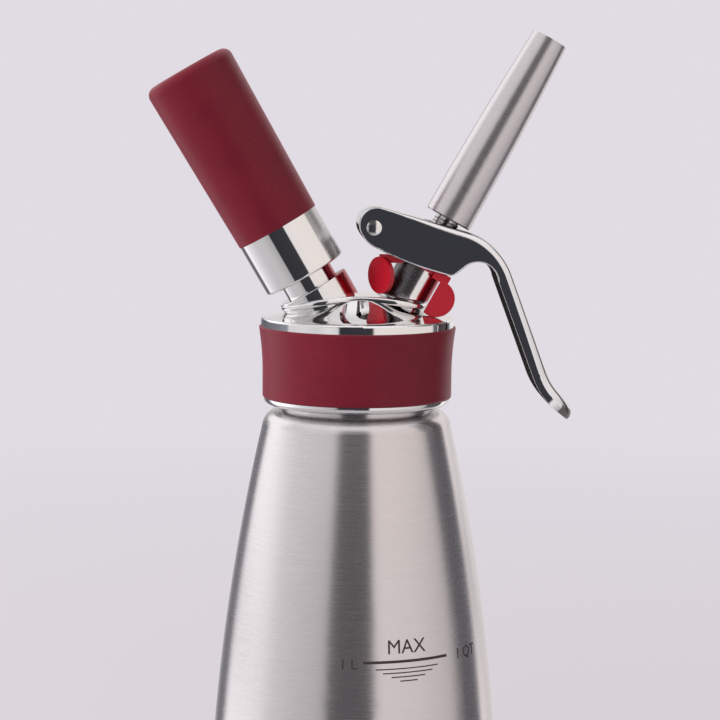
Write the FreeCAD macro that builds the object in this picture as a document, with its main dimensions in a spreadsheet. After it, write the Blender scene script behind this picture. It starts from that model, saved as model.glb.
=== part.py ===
import FreeCAD, Part
import math
import os
import re
import Sketcher

# Whipped cream dispenser: a steel bottle, a screwed head with a charger holder and a
# lever valve.  Millimetres.  The origin is the centre of the bottle's foot, +Z is up.
# The two tilted axes and the lever all lie in the XZ plane: the charger holder leans to
# -X and the valve leans to +X.

SIZES = [
    # Bottle
    ("bottle_base_radius", 56.4),
    ("bottle_corner_radius", 10.0),
    ("bottle_top_radius", 35.7),
    ("bottle_top_height", 192.2),
    ("bottle_wall", 1.1),
    ("base_groove_radius", 36.0),
    ("base_groove_width", 5.0),
    ("base_groove_depth", 1.5),
    ("shoulder_radius", 7.0),
    ("shoulder_ledge", 1.2),
    ("neck_radius", 28.5),
    ("shoulder_rise", 5.1),
    ("neck_length", 28.4),
    ("neck_rim_width", 2.4),
    ("neck_rim_depth", 3.0),
    # Head cap, its grip band and its gasket
    ("neck_clearance", 0.35),
    ("gasket_gap", 0.3),
    ("gasket_thickness", 3.0),
    ("gasket_play", 0.05),
    ("gasket_width", 4.2),
    ("gasket_edge_gap", 0.1),
    ("gasket_tab_length", 2.5),
    ("gasket_tab_width", 9.0),
    ("gasket_tab_thickness", 1.6),
    ("cap_skirt_gap", 2.1),
    ("cap_lip_radius", 35.5),
    ("cap_lip_thickness", 2.6),
    ("cap_lip_round", 2.2),
    ("cap_groove_radius", 33.2),
    ("cap_rim_radius", 36.5),
    ("cap_rim_thickness", 3.3),
    ("cap_roof_thickness", 3.25),
    ("cap_edge_radius", 0.8),
    ("cap_top_rise", 2.45),
    ("band_waist_radius", 35.9),
    ("band_top_radius", 37.3),
    ("band_flare_height", 17.0),
    ("band_edge_radius", 0.7),
    # Bridge casting on the cap
    ("bridge_rise", 8.7),
    ("bridge_arch_radius", 96.0),
    ("bridge_thickness", 2.5),
    ("bridge_edge_radius", 1.1),
    ("bridge_left_x", 13.9),
    ("bridge_left_radius", 14.9),
    ("bridge_right_x", 12.8),
    ("bridge_right_radius", 13.6),
    ("bridge_waist_radius", 60.0),
    ("pedestal_inset", 5.0),
    ("skirt_top_radius", 13.0),
    ("skirt_rise", 5.0),
    ("cap_dish_radius", 52.0),
    ("spigot_radius", 23.8),
    ("spigot_gap", 0.05),
    # Charger holder axis
    ("holder_foot_x", 17.2),
    ("holder_foot_rise", 2.6),
    ("holder_tilt", 30.3),
    ("boss_radius", 14.0),
    ("boss_edge_radius", 0.5),
    ("stub_radius", 10.2),
    ("stub_length", 22.0),
    ("stub_edge", 1.0),
    ("inlet_tube_radius", 6.0),
    ("inlet_tube_depth", 20.0),
    ("inlet_nozzle_radius", 3.0),
    ("inlet_nozzle_length", 4.0),
    ("inlet_bore_radius", 1.0),
    ("thread_clearance", 0.1),
    ("holder_gap", 5.5),
    ("holder_ring_length", 20.8),
    ("holder_ring_radius", 16.2),
    ("holder_ring_round", 0.9),
    ("holder_tube_radius", 12.6),
    ("holder_thread_depth", 18.5),
    ("holder_end_wall", 1.5),
    ("holder_pocket_radius", 7.0),
    ("holder_vent_width", 5.4),
    ("holder_vent_depth", 2.4),
    ("holder_vent_length", 14.5),
    ("sleeve_length", 68.1),
    ("sleeve_foot_radius", 16.4),
    ("sleeve_top_radius", 17.65),
    ("sleeve_top_round", 3.6),
    ("sleeve_end_wall", 3.5),
    # Gas charger and what it plugs onto
    ("charger_radius", 9.3),
    ("charger_length", 66.0),
    ("charger_neck_radius", 4.4),
    ("charger_neck_length", 8.0),
    ("charger_shoulder_length", 12.0),
    ("charger_wall", 1.6),
    ("charger_hole_radius", 1.5),
    ("charger_bore_clearance", 0.3),
    ("charger_insertion", 2.5),
    ("socket_radius", 4.8),
    ("socket_depth", 7.0),
    ("seal_gap", 0.3),
    ("charger_seal_thickness", 2.2),
    ("pin_holder_radius", 5.6),
    ("pin_holder_length", 9.0),
    ("pin_holder_clearance", 0.02),
    ("piercing_pin_radius", 1.1),
    ("piercing_pin_bore", 0.45),
    ("piercing_pin_foot_radius", 2.2),
    ("piercing_pin_foot_length", 3.0),
    ("piercing_pin_reach", 7.4),
    ("check_valve_wall", 1.3),
    ("check_valve_end", 2.0),
    ("check_valve_slit_radius", 0.5),
    # Valve axis
    ("valve_foot_x", 19.9),
    ("valve_foot_rise", 3.2),
    ("valve_tilt", 29.0),
    ("tower_radius", 8.8),
    ("tower_height", 17.0),
    ("tower_flare_radius", 3.0),
    ("valve_tube_radius", 8.6),
    ("valve_tube_depth", 20.0),
    ("guide_clearance", 0.1),
    ("spring_bore_radius", 7.2),
    ("spring_bore_depth", 11.0),
    ("spring_radius", 6.0),
    ("spring_wire_radius", 0.5),
    ("spring_turns", 4.5),
    ("spring_end_gap", 0.1),
    ("bush_radius", 7.2),
    ("bush_length", 7.0),
    ("bush_lip", 0.6),
    ("piston_radius", 4.8),
    ("piston_bore_radius", 2.1),
    ("piston_collar_radius", 6.9),
    ("piston_collar_thickness", 2.6),
    ("piston_collar_height", 20.2),
    ("piston_top", 36.0),
    ("piston_thread_radius", 4.7),
    ("piston_tail_radius", 2.9),
    ("piston_tail_end", 26.0),
    ("piston_port_radius", 1.1),
    ("piston_port_height", 19.2),
    ("ring_section_radius", 0.85),
    ("ring_groove_gap", 0.1),
    ("upper_ring_height", 2.0),
    ("lower_ring_depth", 9.0),
    ("valve_seal_radius", 6.6),
    ("valve_seal_thickness", 1.6),
    ("retainer_radius", 5.2),
    ("retainer_thickness", 2.4),
    # Decorating tip
    ("tip_base_height", 29.0),
    ("tip_length", 77.4),
    ("tip_base_radius", 9.2),
    ("tip_outlet_radius", 6.95),
    ("tip_barrel_radius", 1500.0),
    ("tip_edge", 0.5),
    ("tip_socket_depth", 8.0),
    ("tip_bore_radius", 4.3),
    ("tip_mouth_radius", 5.3),
    ("tip_mouth_depth", 6.0),
    # Lever and its pin
    ("pin_x", 5.35),
    ("pin_rise", 25.7),
    ("pin_radius", 2.85),
    ("pin_clearance", 0.06),
    ("pin_dome", 0.5),
    ("lug_radius", 3.9),
    ("lug_width", 8.0),
    ("lug_anchor_height", 11.0),
    ("lever_width", 23.6),
    ("lever_side_wall", 1.25),
    ("lever_top_wall", 1.5),
    ("lever_end_radius", 6.75),
    ("lever_end_x", 1.1),
    ("lever_end_rise", 0.95),
    ("lever_top_slope", 15.5),
    ("lever_bend_x", 34.7),
    ("lever_bend_radius", 26.0),
    ("handle_slope", 69.5),
    ("handle_length", 39.0),
    ("handle_depth", 5.7),
    ("handle_flick_radius", 25.0),
    ("handle_flick_angle", 19.5),
    ("handle_tip_length", 7.0),
    ("nose_radius", 6.0),
    ("nose_turn", 70.0),
    ("lever_edge_radius", 0.6),
    ("handle_edge_radius", 2.6),
    ("tip_edge_radius", 3.4),
    ("arch_rise", 4.1),
    ("arch_left_x", 34.0),
    ("arch_left_drop", 14.9),
    ("lobe_right_x", 31.3),
    ("lobe_right_drop", 17.0),
    ("lobe_left_x", 28.0),
    ("lobe_left_drop", 17.7),
    ("lobe_radius", 3.4),
    ("belly_radius", 120.0),
    ("belly_end_x", 0.5),
    ("belly_end_drop", 7.55),
    ("chin_radius", 12.0),
    ("chin_turn", 29.3),
    ("slot_clearance", 0.5),
    ("slot_travel", 3.0),
    # Valve clip
    ("clip_height", 8.0),
    ("clip_thickness", 2.4),
    ("clip_wall", 1.4),
    ("clip_clearance", 0.05),
    ("clip_mouth_width", 9.0),
    ("tab_radius", 7.0),
    ("tab_thickness", 1.8),
    ("left_tab_x", 7.7),
    ("left_tab_y", 6.2),
    ("left_tab_rise", 7.6),
    ("left_tab_turn", 56.0),
    ("left_strap_rise", 12.3),
    ("left_strap_width", 3.2),
    ("right_tab_x", 29.0),
    ("right_tab_y", 9.3),
    ("right_tab_drop", 0.8),
    ("right_tab_trim", 8.3),
    ("right_strap_height", 7.0),
    ("right_strap_width", 3.4),
    ("right_strap_reach", 11.0),
]

doc = FreeCAD.newDocument("dispenser")
sheet = doc.addObject("Spreadsheet::Sheet", "sizes")
for row, (size_name, size) in enumerate(SIZES, start=1):
    sheet.set("A%d" % row, size_name)
    sheet.set("B%d" % row, str(size))
    sheet.setAlias("B%d" % row, size_name)
doc.recompute()

SIZE_NAMES = {size_name for size_name, size in SIZES}

# Heights above the bottle's foot, each worked out from the piece below it.
HEIGHTS = {
    "neck_foot_height": "bottle_top_height + shoulder_rise",
    "neck_rim_height": "neck_foot_height + neck_length",
    "cap_bottom_height": "neck_foot_height + cap_skirt_gap",
    "cap_lip_top": "cap_bottom_height + cap_lip_thickness",
    "cap_ceiling": "neck_rim_height + gasket_gap + gasket_thickness + gasket_play",
    "cap_rim_height": "cap_ceiling + cap_roof_thickness",
    "cap_rim_bottom": "cap_rim_height - cap_rim_thickness",
    "cap_crown": "cap_rim_height + cap_top_rise",
    "bridge_top_height": "cap_rim_height + bridge_rise",
    "holder_foot_height": "bridge_top_height + holder_foot_rise",
    "valve_foot_height": "bridge_top_height + valve_foot_rise",
    "pin_height": "bridge_top_height + pin_rise",
    "left_tab_height": "bridge_top_height + left_tab_rise",
    "left_strap_height": "bridge_top_height + left_strap_rise",
    "right_tab_height": "bridge_top_height - right_tab_drop",
}
UP = FreeCAD.Vector(0, 0, 1)
LEFT = FreeCAD.Vector(0, -1, 0)
RIGHT = FreeCAD.Vector(0, 1, 0)
SUB_PARTS = []


def cells(text):
    """Write heights out in full and point every size name at its cell of the sheet."""
    def cell(match):
        word = match.group()
        if word in HEIGHTS:
            return "(" + cells(HEIGHTS[word]) + ")"
        return "sizes." + word if word in SIZE_NAMES else word
    return re.sub(r"[a-z_]+", cell, text)


def value(text):
    """The number that an expression of sizes gives now."""
    return float(sheet.evalExpression(cells(text)))


def bind(item, **properties):
    """Tie properties of an object to expressions of sizes."""
    for name, text in properties.items():
        item.setExpression(name, cells(text))
    return item


def place(item, x="0", y="0", z="0", turn=None, axis=UP):
    """Put an object at a point given by expressions, turned about an axis."""
    angle = value(turn) if turn else 0
    spot = FreeCAD.Vector(value(x), value(y), value(z))
    item.Placement = FreeCAD.Placement(spot, FreeCAD.Rotation(axis, angle))
    item.setExpression("Placement.Base.x", cells(x))
    item.setExpression("Placement.Base.y", cells(y))
    item.setExpression("Placement.Base.z", cells(z))
    if turn:
        item.setExpression("Placement.Rotation.Angle", cells(turn))
    return item


def on_holder_axis(item, height="0"):
    """Stand an object on the charger holder's axis, height above the boss."""
    x = "-holder_foot_x - (%s) * sin(holder_tilt)" % height
    z = "holder_foot_height + (%s) * cos(holder_tilt)" % height
    return place(item, x, "0", z, "holder_tilt", LEFT)


def on_valve_axis(item, height="0"):
    """Stand an object on the valve's axis, height above the tower's foot."""
    x = "valve_foot_x + (%s) * sin(valve_tilt)" % height
    z = "valve_foot_height + (%s) * cos(valve_tilt)" % height
    return place(item, x, "0", z, "valve_tilt", RIGHT)


def sub_part(item, label):
    """Name a finished sub-part and keep it for export."""
    item.Label = label
    SUB_PARTS.append(item)
    return item


# --- sketches ---------------------------------------------------------------------


def origin_plane(body, role):
    """One of a body's own origin planes."""
    for feature in body.Origin.OriginFeatures:
        if feature.Role == role:
            return feature
    raise ValueError("no plane " + role)


def new_sketch(body, name, role="XZ_Plane"):
    """A sketch on a body's own plane."""
    sketch = body.newObject("Sketcher::SketchObject", name)
    sketch.AttachmentSupport = [(origin_plane(body, role), "")]
    sketch.MapMode = "FlatFace"
    return sketch


def arc_about(centre, radius, start, end):
    """The arc that runs anticlockwise about a centre from start to end."""
    first = math.atan2(start.y - centre.y, start.x - centre.x)
    last = math.atan2(end.y - centre.y, end.x - centre.x)
    if last < first:
        last += 2 * math.pi
    return Part.ArcOfCircle(Part.Circle(centre, UP, radius), first, last)


def arc_through(start, end, radius, side):
    """The shorter arc between two points that bulges left (+1) or right (-1) of the way."""
    chord = end - start
    to_left = FreeCAD.Vector(-chord.y, chord.x, 0).normalize()
    distance = math.sqrt(max(radius * radius - chord.Length ** 2 / 4, 0))
    centre = (start + end) * 0.5 - to_left * side * distance
    if side > 0:
        return arc_about(centre, radius, end, start)
    return arc_about(centre, radius, start, end)


def draw_outline(sketch, corners):
    """Draw a closed outline.

    Each corner is (across, up) or (across, up, radius, side), all but side being
    expressions of sizes.  A radius makes the stretch that arrives at the corner an arc,
    which bulges to the left (+1) or the right (-1) of the way it is drawn.
    """
    points = [FreeCAD.Vector(value(corner[0]), value(corner[1]), 0) for corner in corners]
    count = len(points)
    ends = []
    for index in range(count):
        following = (index + 1) % count
        arrival = corners[following]
        if len(arrival) == 4:
            radius, side = arrival[2:]
            sketch.addGeometry(arc_through(points[index], points[following], value(radius), side), False)
            ends.append((2, 1) if side > 0 else (1, 2))
        else:
            sketch.addGeometry(Part.LineSegment(points[index], points[following]), False)
            ends.append((1, 2))
    for index in range(count):
        following = (index + 1) % count
        joint = Sketcher.Constraint("Coincident", index, ends[index][1], following, ends[following][0])
        sketch.addConstraint(joint)
    for index, corner in enumerate(corners):
        for kind, text, size in (("DistanceX", corner[0], points[index].x), ("DistanceY", corner[1], points[index].y)):
            tie = sketch.addConstraint(Sketcher.Constraint(kind, -1, 1, index, ends[index][0], size))
            sketch.setExpression("Constraints[%d]" % tie, cells(text))
    for index, corner in enumerate(corners):
        if len(corner) == 4:
            arc = (index - 1) % count
            tie = sketch.addConstraint(Sketcher.Constraint("Radius", arc, value(corner[2])))
            sketch.setExpression("Constraints[%d]" % tie, cells(corner[2]))
    return sketch


def turned(name, corners):
    """A body turned from an outline of (radius, height) corners about its own Z axis."""
    body = doc.addObject("PartDesign::Body", name)
    sketch = draw_outline(new_sketch(body, name + "_outline"), corners)
    turn = body.newObject("PartDesign::Revolution", name + "_turn")
    turn.Profile = sketch
    turn.ReferenceAxis = (sketch, ["V_Axis"])
    turn.Angle = 360
    sketch.Visibility = False
    return body


def pad_both_ways(body, sketch, name, width):
    """Pad a sketch symmetrically to a full width."""
    pad = body.newObject("PartDesign::Pad", name)
    pad.Profile = sketch
    pad.SideType = "Symmetric"
    return bind(pad, Length=width)


# --- primitives and booleans ------------------------------------------------------


def cylinder(name, radius, height):
    return bind(doc.addObject("Part::Cylinder", name), Radius=radius, Height=height)


def block(name, length, width, height):
    return bind(doc.addObject("Part::Box", name), Length=length, Width=width, Height=height)


def fused(name, items):
    fuse = doc.addObject("Part::MultiFuse", name)
    fuse.Shapes = items
    return fuse


def common(name, first, second):
    both = doc.addObject("Part::Common", name)
    both.Base = first
    both.Tool = second
    return both


def cut(name, base, tools):
    rest = doc.addObject("Part::Cut", name)
    rest.Base = base
    rest.Tool = tools[0] if len(tools) == 1 else fused(name + "_tools", tools)
    return rest


def rounded(name, base, radius, wanted):
    """Fillet the edges of a base that a test picks out."""
    doc.recompute()
    fillet = doc.addObject("Part::Fillet", name)
    fillet.Base = base
    size = value(radius)
    picks = [index for index, edge in enumerate(base.Shape.Edges, start=1) if wanted(edge)]
    fillet.Edges = [(index, size, size) for index in picks]
    return fillet


# --- bottle and head cap ----------------------------------------------------------

CAP_BORE = "neck_radius + neck_clearance"
CAP_SHOULDER = "cap_rim_radius - cap_edge_radius"
SPIGOT_HOLE = "spigot_radius + spigot_gap"


def make_bottle():
    """A thin steel shell with a plain land for the head's screw thread."""
    side_drop = "(bottle_base_radius - bottle_top_radius)"
    side_rise = "(bottle_top_height - bottle_corner_radius)"
    side_radius = "(%s * %s + %s * %s) / (2 * %s)" % (side_drop, side_drop, side_rise, side_rise, side_drop)
    foot_radius = "bottle_base_radius - bottle_corner_radius"
    groove_inside = "base_groove_radius - base_groove_width / 2"
    groove_outside = "base_groove_radius + base_groove_width / 2"
    neck_inside = "neck_radius - bottle_wall"
    outline = [
        ("0", "0"),
        (groove_inside, "0"),
        (groove_inside + " + base_groove_depth", "base_groove_depth"),
        (groove_outside + " - base_groove_depth", "base_groove_depth"),
        (groove_outside, "0"),
        (foot_radius, "0"),
        ("bottle_base_radius", "bottle_corner_radius", "bottle_corner_radius", -1),
        ("bottle_top_radius", "bottle_top_height", side_radius, -1),
        ("neck_radius + shoulder_ledge", "neck_foot_height", "shoulder_radius", -1),
        ("neck_radius", "neck_foot_height"),
        ("neck_radius", "neck_rim_height"),
        ("neck_radius - neck_rim_width", "neck_rim_height"),
        ("neck_radius - neck_rim_width", "neck_rim_height - neck_rim_depth"),
        (neck_inside, "neck_rim_height - neck_rim_depth - (neck_rim_width - bottle_wall)"),
        (neck_inside, "neck_foot_height - bottle_wall"),
        (neck_inside + " + shoulder_ledge", "neck_foot_height - bottle_wall"),
        ("bottle_top_radius - bottle_wall", "bottle_top_height", "shoulder_radius", 1),
        ("bottle_base_radius - bottle_wall", "bottle_corner_radius", side_radius, 1),
        (foot_radius, "bottle_wall", "bottle_corner_radius - bottle_wall", 1),
        (groove_outside, "bottle_wall"),
        (groove_outside + " - base_groove_depth", "bottle_wall + base_groove_depth"),
        (groove_inside + " + base_groove_depth", "bottle_wall + base_groove_depth"),
        (groove_inside, "bottle_wall"),
        ("0", "bottle_wall"),
    ]
    return sub_part(turned("bottle", outline), "bottle")


def make_head_cap():
    """The polished cap: a groove for the band, a bored skirt and a spigot hole."""
    outline = [
        (SPIGOT_HOLE, "cap_crown", "cap_dish_radius", 1),
        (SPIGOT_HOLE, "cap_ceiling"),
        (CAP_BORE, "cap_ceiling"),
        (CAP_BORE, "cap_bottom_height"),
        ("cap_lip_radius - cap_lip_round", "cap_bottom_height"),
        ("cap_lip_radius", "cap_bottom_height + cap_lip_round", "cap_lip_round", -1),
        ("cap_lip_radius", "cap_lip_top"),
        ("cap_groove_radius", "cap_lip_top"),
        ("cap_groove_radius", "cap_rim_bottom"),
        ("cap_rim_radius", "cap_rim_bottom"),
        ("cap_rim_radius", "cap_rim_height - cap_edge_radius"),
        (CAP_SHOULDER, "cap_rim_height", "cap_edge_radius", -1),
    ]
    return sub_part(turned("head_cap", outline), "head_cap")


def make_grip_band():
    """The silicone band in the cap's groove, flared at the top."""
    flare = "(band_top_radius - band_waist_radius)"
    flare_radius = "(%s * %s + band_flare_height * band_flare_height) / (2 * %s)" % (flare, flare, flare)
    outline = [
        ("cap_groove_radius", "cap_lip_top"),
        ("band_waist_radius - band_edge_radius", "cap_lip_top"),
        ("band_waist_radius", "cap_lip_top + band_edge_radius", "band_edge_radius", -1),
        ("band_waist_radius", "cap_rim_bottom - band_edge_radius - band_flare_height"),
        ("band_top_radius", "cap_rim_bottom - band_edge_radius", flare_radius, 1),
        ("band_top_radius - band_edge_radius", "cap_rim_bottom", "band_edge_radius", -1),
        ("cap_groove_radius", "cap_rim_bottom"),
    ]
    return sub_part(turned("grip_band", outline), "grip_band")


def make_head_gasket():
    """The flat ring between the neck's rim and the cap, with a tab to pull it out by."""
    bottom = "neck_rim_height + gasket_gap"
    outer = "neck_radius - gasket_edge_gap"
    inner = outer + " - gasket_width"
    outline = [
        (inner, bottom),
        (outer, bottom),
        (outer, bottom + " + gasket_thickness"),
        (inner, bottom + " + gasket_thickness"),
    ]
    body = turned("gasket_ring", outline)
    ring_overlap = "gasket_width / 2"
    tab = block("gasket_tab", "gasket_tab_length + " + ring_overlap, "gasket_tab_width", "gasket_tab_thickness")
    place(tab, "-(%s) - %s" % (inner, ring_overlap), "-gasket_tab_width / 2", bottom)
    return sub_part(fused("head_gasket", [body, tab]), "head_gasket")


# --- bridge casting ---------------------------------------------------------------


def bridge_plan(name, inset, bottom, height):
    """A slab with two round ends and a waist between them, seen from above."""
    body = doc.addObject("PartDesign::Body", name)
    sketch = new_sketch(body, name + "_plan", "XY_Plane")
    left_x, right_x = -value("bridge_left_x"), value("bridge_right_x")
    left_r, right_r = value("bridge_left_radius - (%s)" % inset), value("bridge_right_radius - (%s)" % inset)
    waist = value("bridge_waist_radius + (%s)" % inset)
    span = right_x - left_x
    to_left, to_right = left_r + waist, right_r + waist
    along = (to_left ** 2 - to_right ** 2 + span ** 2) / (2 * span)
    centre = FreeCAD.Vector(left_x + along, math.sqrt(to_left ** 2 - along ** 2), 0)
    left = FreeCAD.Vector(left_x, 0, 0)
    right = FreeCAD.Vector(right_x, 0, 0)
    touch_left = left + (centre - left).normalize() * left_r
    touch_right = right + (centre - right).normalize() * right_r
    low_left = FreeCAD.Vector(touch_left.x, -touch_left.y, 0)
    low_right = FreeCAD.Vector(touch_right.x, -touch_right.y, 0)
    low_centre = FreeCAD.Vector(centre.x, -centre.y, 0)
    sketch.addGeometry(arc_about(left, left_r, touch_left, low_left), False)
    sketch.addGeometry(arc_about(low_centre, waist, low_right, low_left), False)
    sketch.addGeometry(arc_about(right, right_r, low_right, touch_right), False)
    sketch.addGeometry(arc_about(centre, waist, touch_left, touch_right), False)
    for first, first_end, second, second_end in ((0, 2, 1, 2), (1, 1, 2, 1), (2, 2, 3, 2), (3, 1, 0, 1)):
        sketch.addConstraint(Sketcher.Constraint("Tangent", first, first_end, second, second_end))
    sketch.addConstraint(Sketcher.Constraint("PointOnObject", 0, 3, -1))
    sketch.addConstraint(Sketcher.Constraint("PointOnObject", 2, 3, -1))
    ties = [
        (Sketcher.Constraint("DistanceX", -1, 1, 0, 3, left_x), "-bridge_left_x"),
        (Sketcher.Constraint("DistanceX", -1, 1, 2, 3, right_x), "bridge_right_x"),
        (Sketcher.Constraint("Radius", 0, left_r), "bridge_left_radius - (%s)" % inset),
        (Sketcher.Constraint("Radius", 2, right_r), "bridge_right_radius - (%s)" % inset),
        (Sketcher.Constraint("Radius", 1, waist), "bridge_waist_radius + (%s)" % inset),
        (Sketcher.Constraint("Radius", 3, waist), "bridge_waist_radius + (%s)" % inset),
    ]
    for constraint, text in ties:
        tie = sketch.addConstraint(constraint)
        sketch.setExpression("Constraints[%d]" % tie, cells(text))
    pad = body.newObject("PartDesign::Pad", name + "_pad")
    pad.Profile = sketch
    bind(pad, Length=height)
    return place(body, "0", "0", bottom)


def arched_slab(name, top, thickness):
    """A band of a drum that lies along Y: the arch that the bridge's plate is cut from."""
    reach = "2 * bridge_arch_radius"
    outer = cylinder(name + "_outer", "bridge_arch_radius", reach)
    inner = cylinder(name + "_inner", "bridge_arch_radius - (%s)" % thickness, reach)
    for drum in (outer, inner):
        drum.Placement = FreeCAD.Placement(FreeCAD.Vector(), FreeCAD.Rotation(FreeCAD.Vector(1, 0, 0), -90))
        drum.setExpression("Placement.Base.y", cells("-bridge_arch_radius"))
        drum.setExpression("Placement.Base.z", cells("(%s) - bridge_arch_radius" % top))
    return cut(name, outer, [inner])


def make_head_bridge():
    """One casting: arched plate, pedestal, spigot, holder boss and stub, valve tower, lug."""
    plate_block = bridge_plan("plate_block", "0", "cap_rim_height", "bridge_rise")
    plate = common("plate", plate_block, arched_slab("plate_arch", "bridge_top_height", "bridge_thickness"))

    def along_rim(edge):
        return edge.BoundBox.XLength + edge.BoundBox.YLength > value("bridge_thickness")
    plate_bead = rounded("plate_bead", plate, "bridge_edge_radius", along_rim)

    pedestal_block = bridge_plan("pedestal_block", "pedestal_inset", "cap_rim_height", "bridge_rise")
    under_drum = cylinder("pedestal_drum", "bridge_arch_radius - bridge_edge_radius", "2 * bridge_arch_radius")
    under_drum.Placement = FreeCAD.Placement(FreeCAD.Vector(), FreeCAD.Rotation(FreeCAD.Vector(1, 0, 0), -90))
    under_drum.setExpression("Placement.Base.y", cells("-bridge_arch_radius"))
    under_drum.setExpression("Placement.Base.z", cells("bridge_top_height - bridge_arch_radius"))
    pedestal = common("pedestal", pedestal_block, under_drum)
    spigot = turned("spigot", [
        ("0", "cap_ceiling"),
        ("spigot_radius", "cap_ceiling"),
        ("spigot_radius", "cap_crown"),
        ("skirt_top_radius", "cap_crown + skirt_rise", "cap_dish_radius", 1),
        ("0", "cap_crown + skirt_rise"),
    ])

    # The boss and the tower end at the spigot's underside, and at the cap outside the spigot.
    room = "4 * spigot_radius"
    cap_room = turned("cap_room", [
        ("spigot_radius", "cap_ceiling - cap_roof_thickness"),
        (room, "cap_ceiling - cap_roof_thickness"),
        (room, "cap_rim_height + spigot_gap"),
        (CAP_SHOULDER, "cap_rim_height + spigot_gap"),
        ("spigot_radius", "cap_crown + spigot_gap", "cap_dish_radius", 1),
    ])
    above = block("above_spigot", room, room, room)
    place(above, "-(%s) / 2" % room, "-(%s) / 2" % room, "cap_ceiling")
    boss_depth = "boss_radius * 2"
    boss = on_holder_axis(cylinder("boss", "boss_radius", boss_depth), "-(%s)" % boss_depth)
    doc.recompute()
    boss_top = FreeCAD.Vector(boss.Placement.Rotation.multVec(UP))
    boss_level = boss.Placement.Base.dot(boss_top) + value(boss_depth)
    boss_round = rounded("boss_round", boss, "boss_edge_radius",
                         lambda edge: abs(edge.CenterOfMass.dot(boss_top) - boss_level) < 1e-3)
    boss_above = common("boss_above", boss_round, above)
    tower_depth = "tower_radius * 2"
    tower = on_valve_axis(cylinder("tower", "tower_radius", "tower_height + " + tower_depth), "-(%s)" % tower_depth)
    above_again = block("above_spigot_again", room, room, room)
    place(above_again, "-(%s) / 2" % room, "-(%s) / 2" % room, "cap_ceiling")
    tower_above = common("tower_above", tower, above_again)
    deck = fused("deck", [plate_bead, tower_above])
    doc.recompute()

    def tower_foot(edge):
        box = edge.BoundBox
        across = value("2 * tower_radius")
        on_top = value("bridge_top_height - bridge_thickness") < box.ZMax < value("bridge_top_height")
        return on_top and box.XMin > 0 and abs(box.YLength - across) < across / 10
    deck_flared = rounded("deck_flared", deck, "tower_flare_radius", tower_foot)

    stub = on_holder_axis(cylinder("stub", "stub_radius", "stub_length + boss_edge_radius"), "-boss_edge_radius")
    doc.recompute()
    stub_top = stub.Placement.Base.dot(boss_top) + value("stub_length + boss_edge_radius")
    stub_round = rounded("stub_round", stub, "stub_edge",
                         lambda edge: abs(edge.CenterOfMass.dot(boss_top) - stub_top) < 1e-3)
    inlet = on_holder_axis(cylinder("inlet_tube", "inlet_tube_radius", "inlet_tube_depth"), "-inlet_tube_depth")
    nozzle_foot = "-inlet_tube_depth - inlet_nozzle_length"
    nozzle = on_holder_axis(cylinder("inlet_nozzle", "inlet_nozzle_radius", "2 * inlet_nozzle_length"), nozzle_foot)
    valve_tube = on_valve_axis(cylinder("valve_tube", "valve_tube_radius", "valve_tube_depth"), "-valve_tube_depth")

    # Lug from the tower to the lever's pin.
    lug_eye = cylinder("lug_eye", "lug_radius", "lug_width")
    place(lug_eye, "pin_x", "lug_width / 2", "pin_height", "90", FreeCAD.Vector(1, 0, 0))
    anchor_x = "(valve_foot_x + lug_anchor_height * sin(valve_tilt))"
    anchor_z = "(valve_foot_height + lug_anchor_height * cos(valve_tilt))"
    run = "(%s - pin_x)" % anchor_x
    fall = "(pin_height - %s)" % anchor_z
    lug_length = "sqrt(%s * %s + %s * %s)" % (run, run, fall, fall)
    lug_slope = "atan(%s / %s)" % (fall, run)
    lug_bar = block("lug_bar", lug_length, "lug_width", "2 * lug_radius")
    place(lug_bar, "pin_x - lug_radius * sin(%s)" % lug_slope, "-lug_width / 2",
          "pin_height - lug_radius * cos(%s)" % lug_slope, lug_slope, RIGHT)
    metal = fused("bridge_metal", [deck_flared, boss_above, pedestal, spigot, stub_round, inlet, nozzle,
                                   valve_tube, lug_eye, lug_bar])

    # Bores.
    guide_bore = "piston_radius + guide_clearance"
    valve_bore = on_valve_axis(cylinder("valve_bore", guide_bore, "2 * valve_tube_depth + tower_height"),
                               "-2 * valve_tube_depth")
    spring_floor = "tower_height - spring_bore_depth"
    spring_bore = on_valve_axis(cylinder("spring_bore", "spring_bore_radius", "3 * spring_bore_depth"), spring_floor)
    bush_bore = on_valve_axis(cylinder("bush_bore", "bush_radius", "2 * bush_length"),
                              "-valve_tube_depth - bush_length")
    bush_seat = on_valve_axis(cylinder("bush_seat", "valve_tube_radius + seal_gap", "bush_length"),
                              "-valve_tube_depth - bush_length")
    socket = on_holder_axis(cylinder("socket", "socket_radius", "2 * socket_depth"), "stub_length - socket_depth")
    holder_bore_foot = "stub_length - socket_depth - pin_holder_length"
    pin_bore = on_holder_axis(cylinder("pin_bore", "pin_holder_radius", "pin_holder_length"), holder_bore_foot)
    gas_bore = on_holder_axis(cylinder("gas_bore", "inlet_bore_radius", "stub_length + 2 * inlet_tube_depth"),
                              "-2 * inlet_tube_depth")
    pin_hole = cylinder("pin_hole", "pin_radius + pin_clearance", "2 * lug_width")
    place(pin_hole, "pin_x", "lug_width", "pin_height", "90", FreeCAD.Vector(1, 0, 0))
    bored = cut("head_bridge", metal, [cap_room, valve_bore, spring_bore, bush_bore, bush_seat, socket, pin_bore,
                                       gas_bore, pin_hole])
    return sub_part(bored, "head_bridge")


# --- charger side -----------------------------------------------------------------

CHARGER_FOOT = "(stub_length - charger_insertion)"
CHARGER_END = "(stub_length - charger_insertion + charger_length)"
RING_TOP = "(holder_gap + holder_ring_length)"
TUBE_TOP = "(holder_gap + holder_ring_length + sleeve_length - sleeve_end_wall)"


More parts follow.
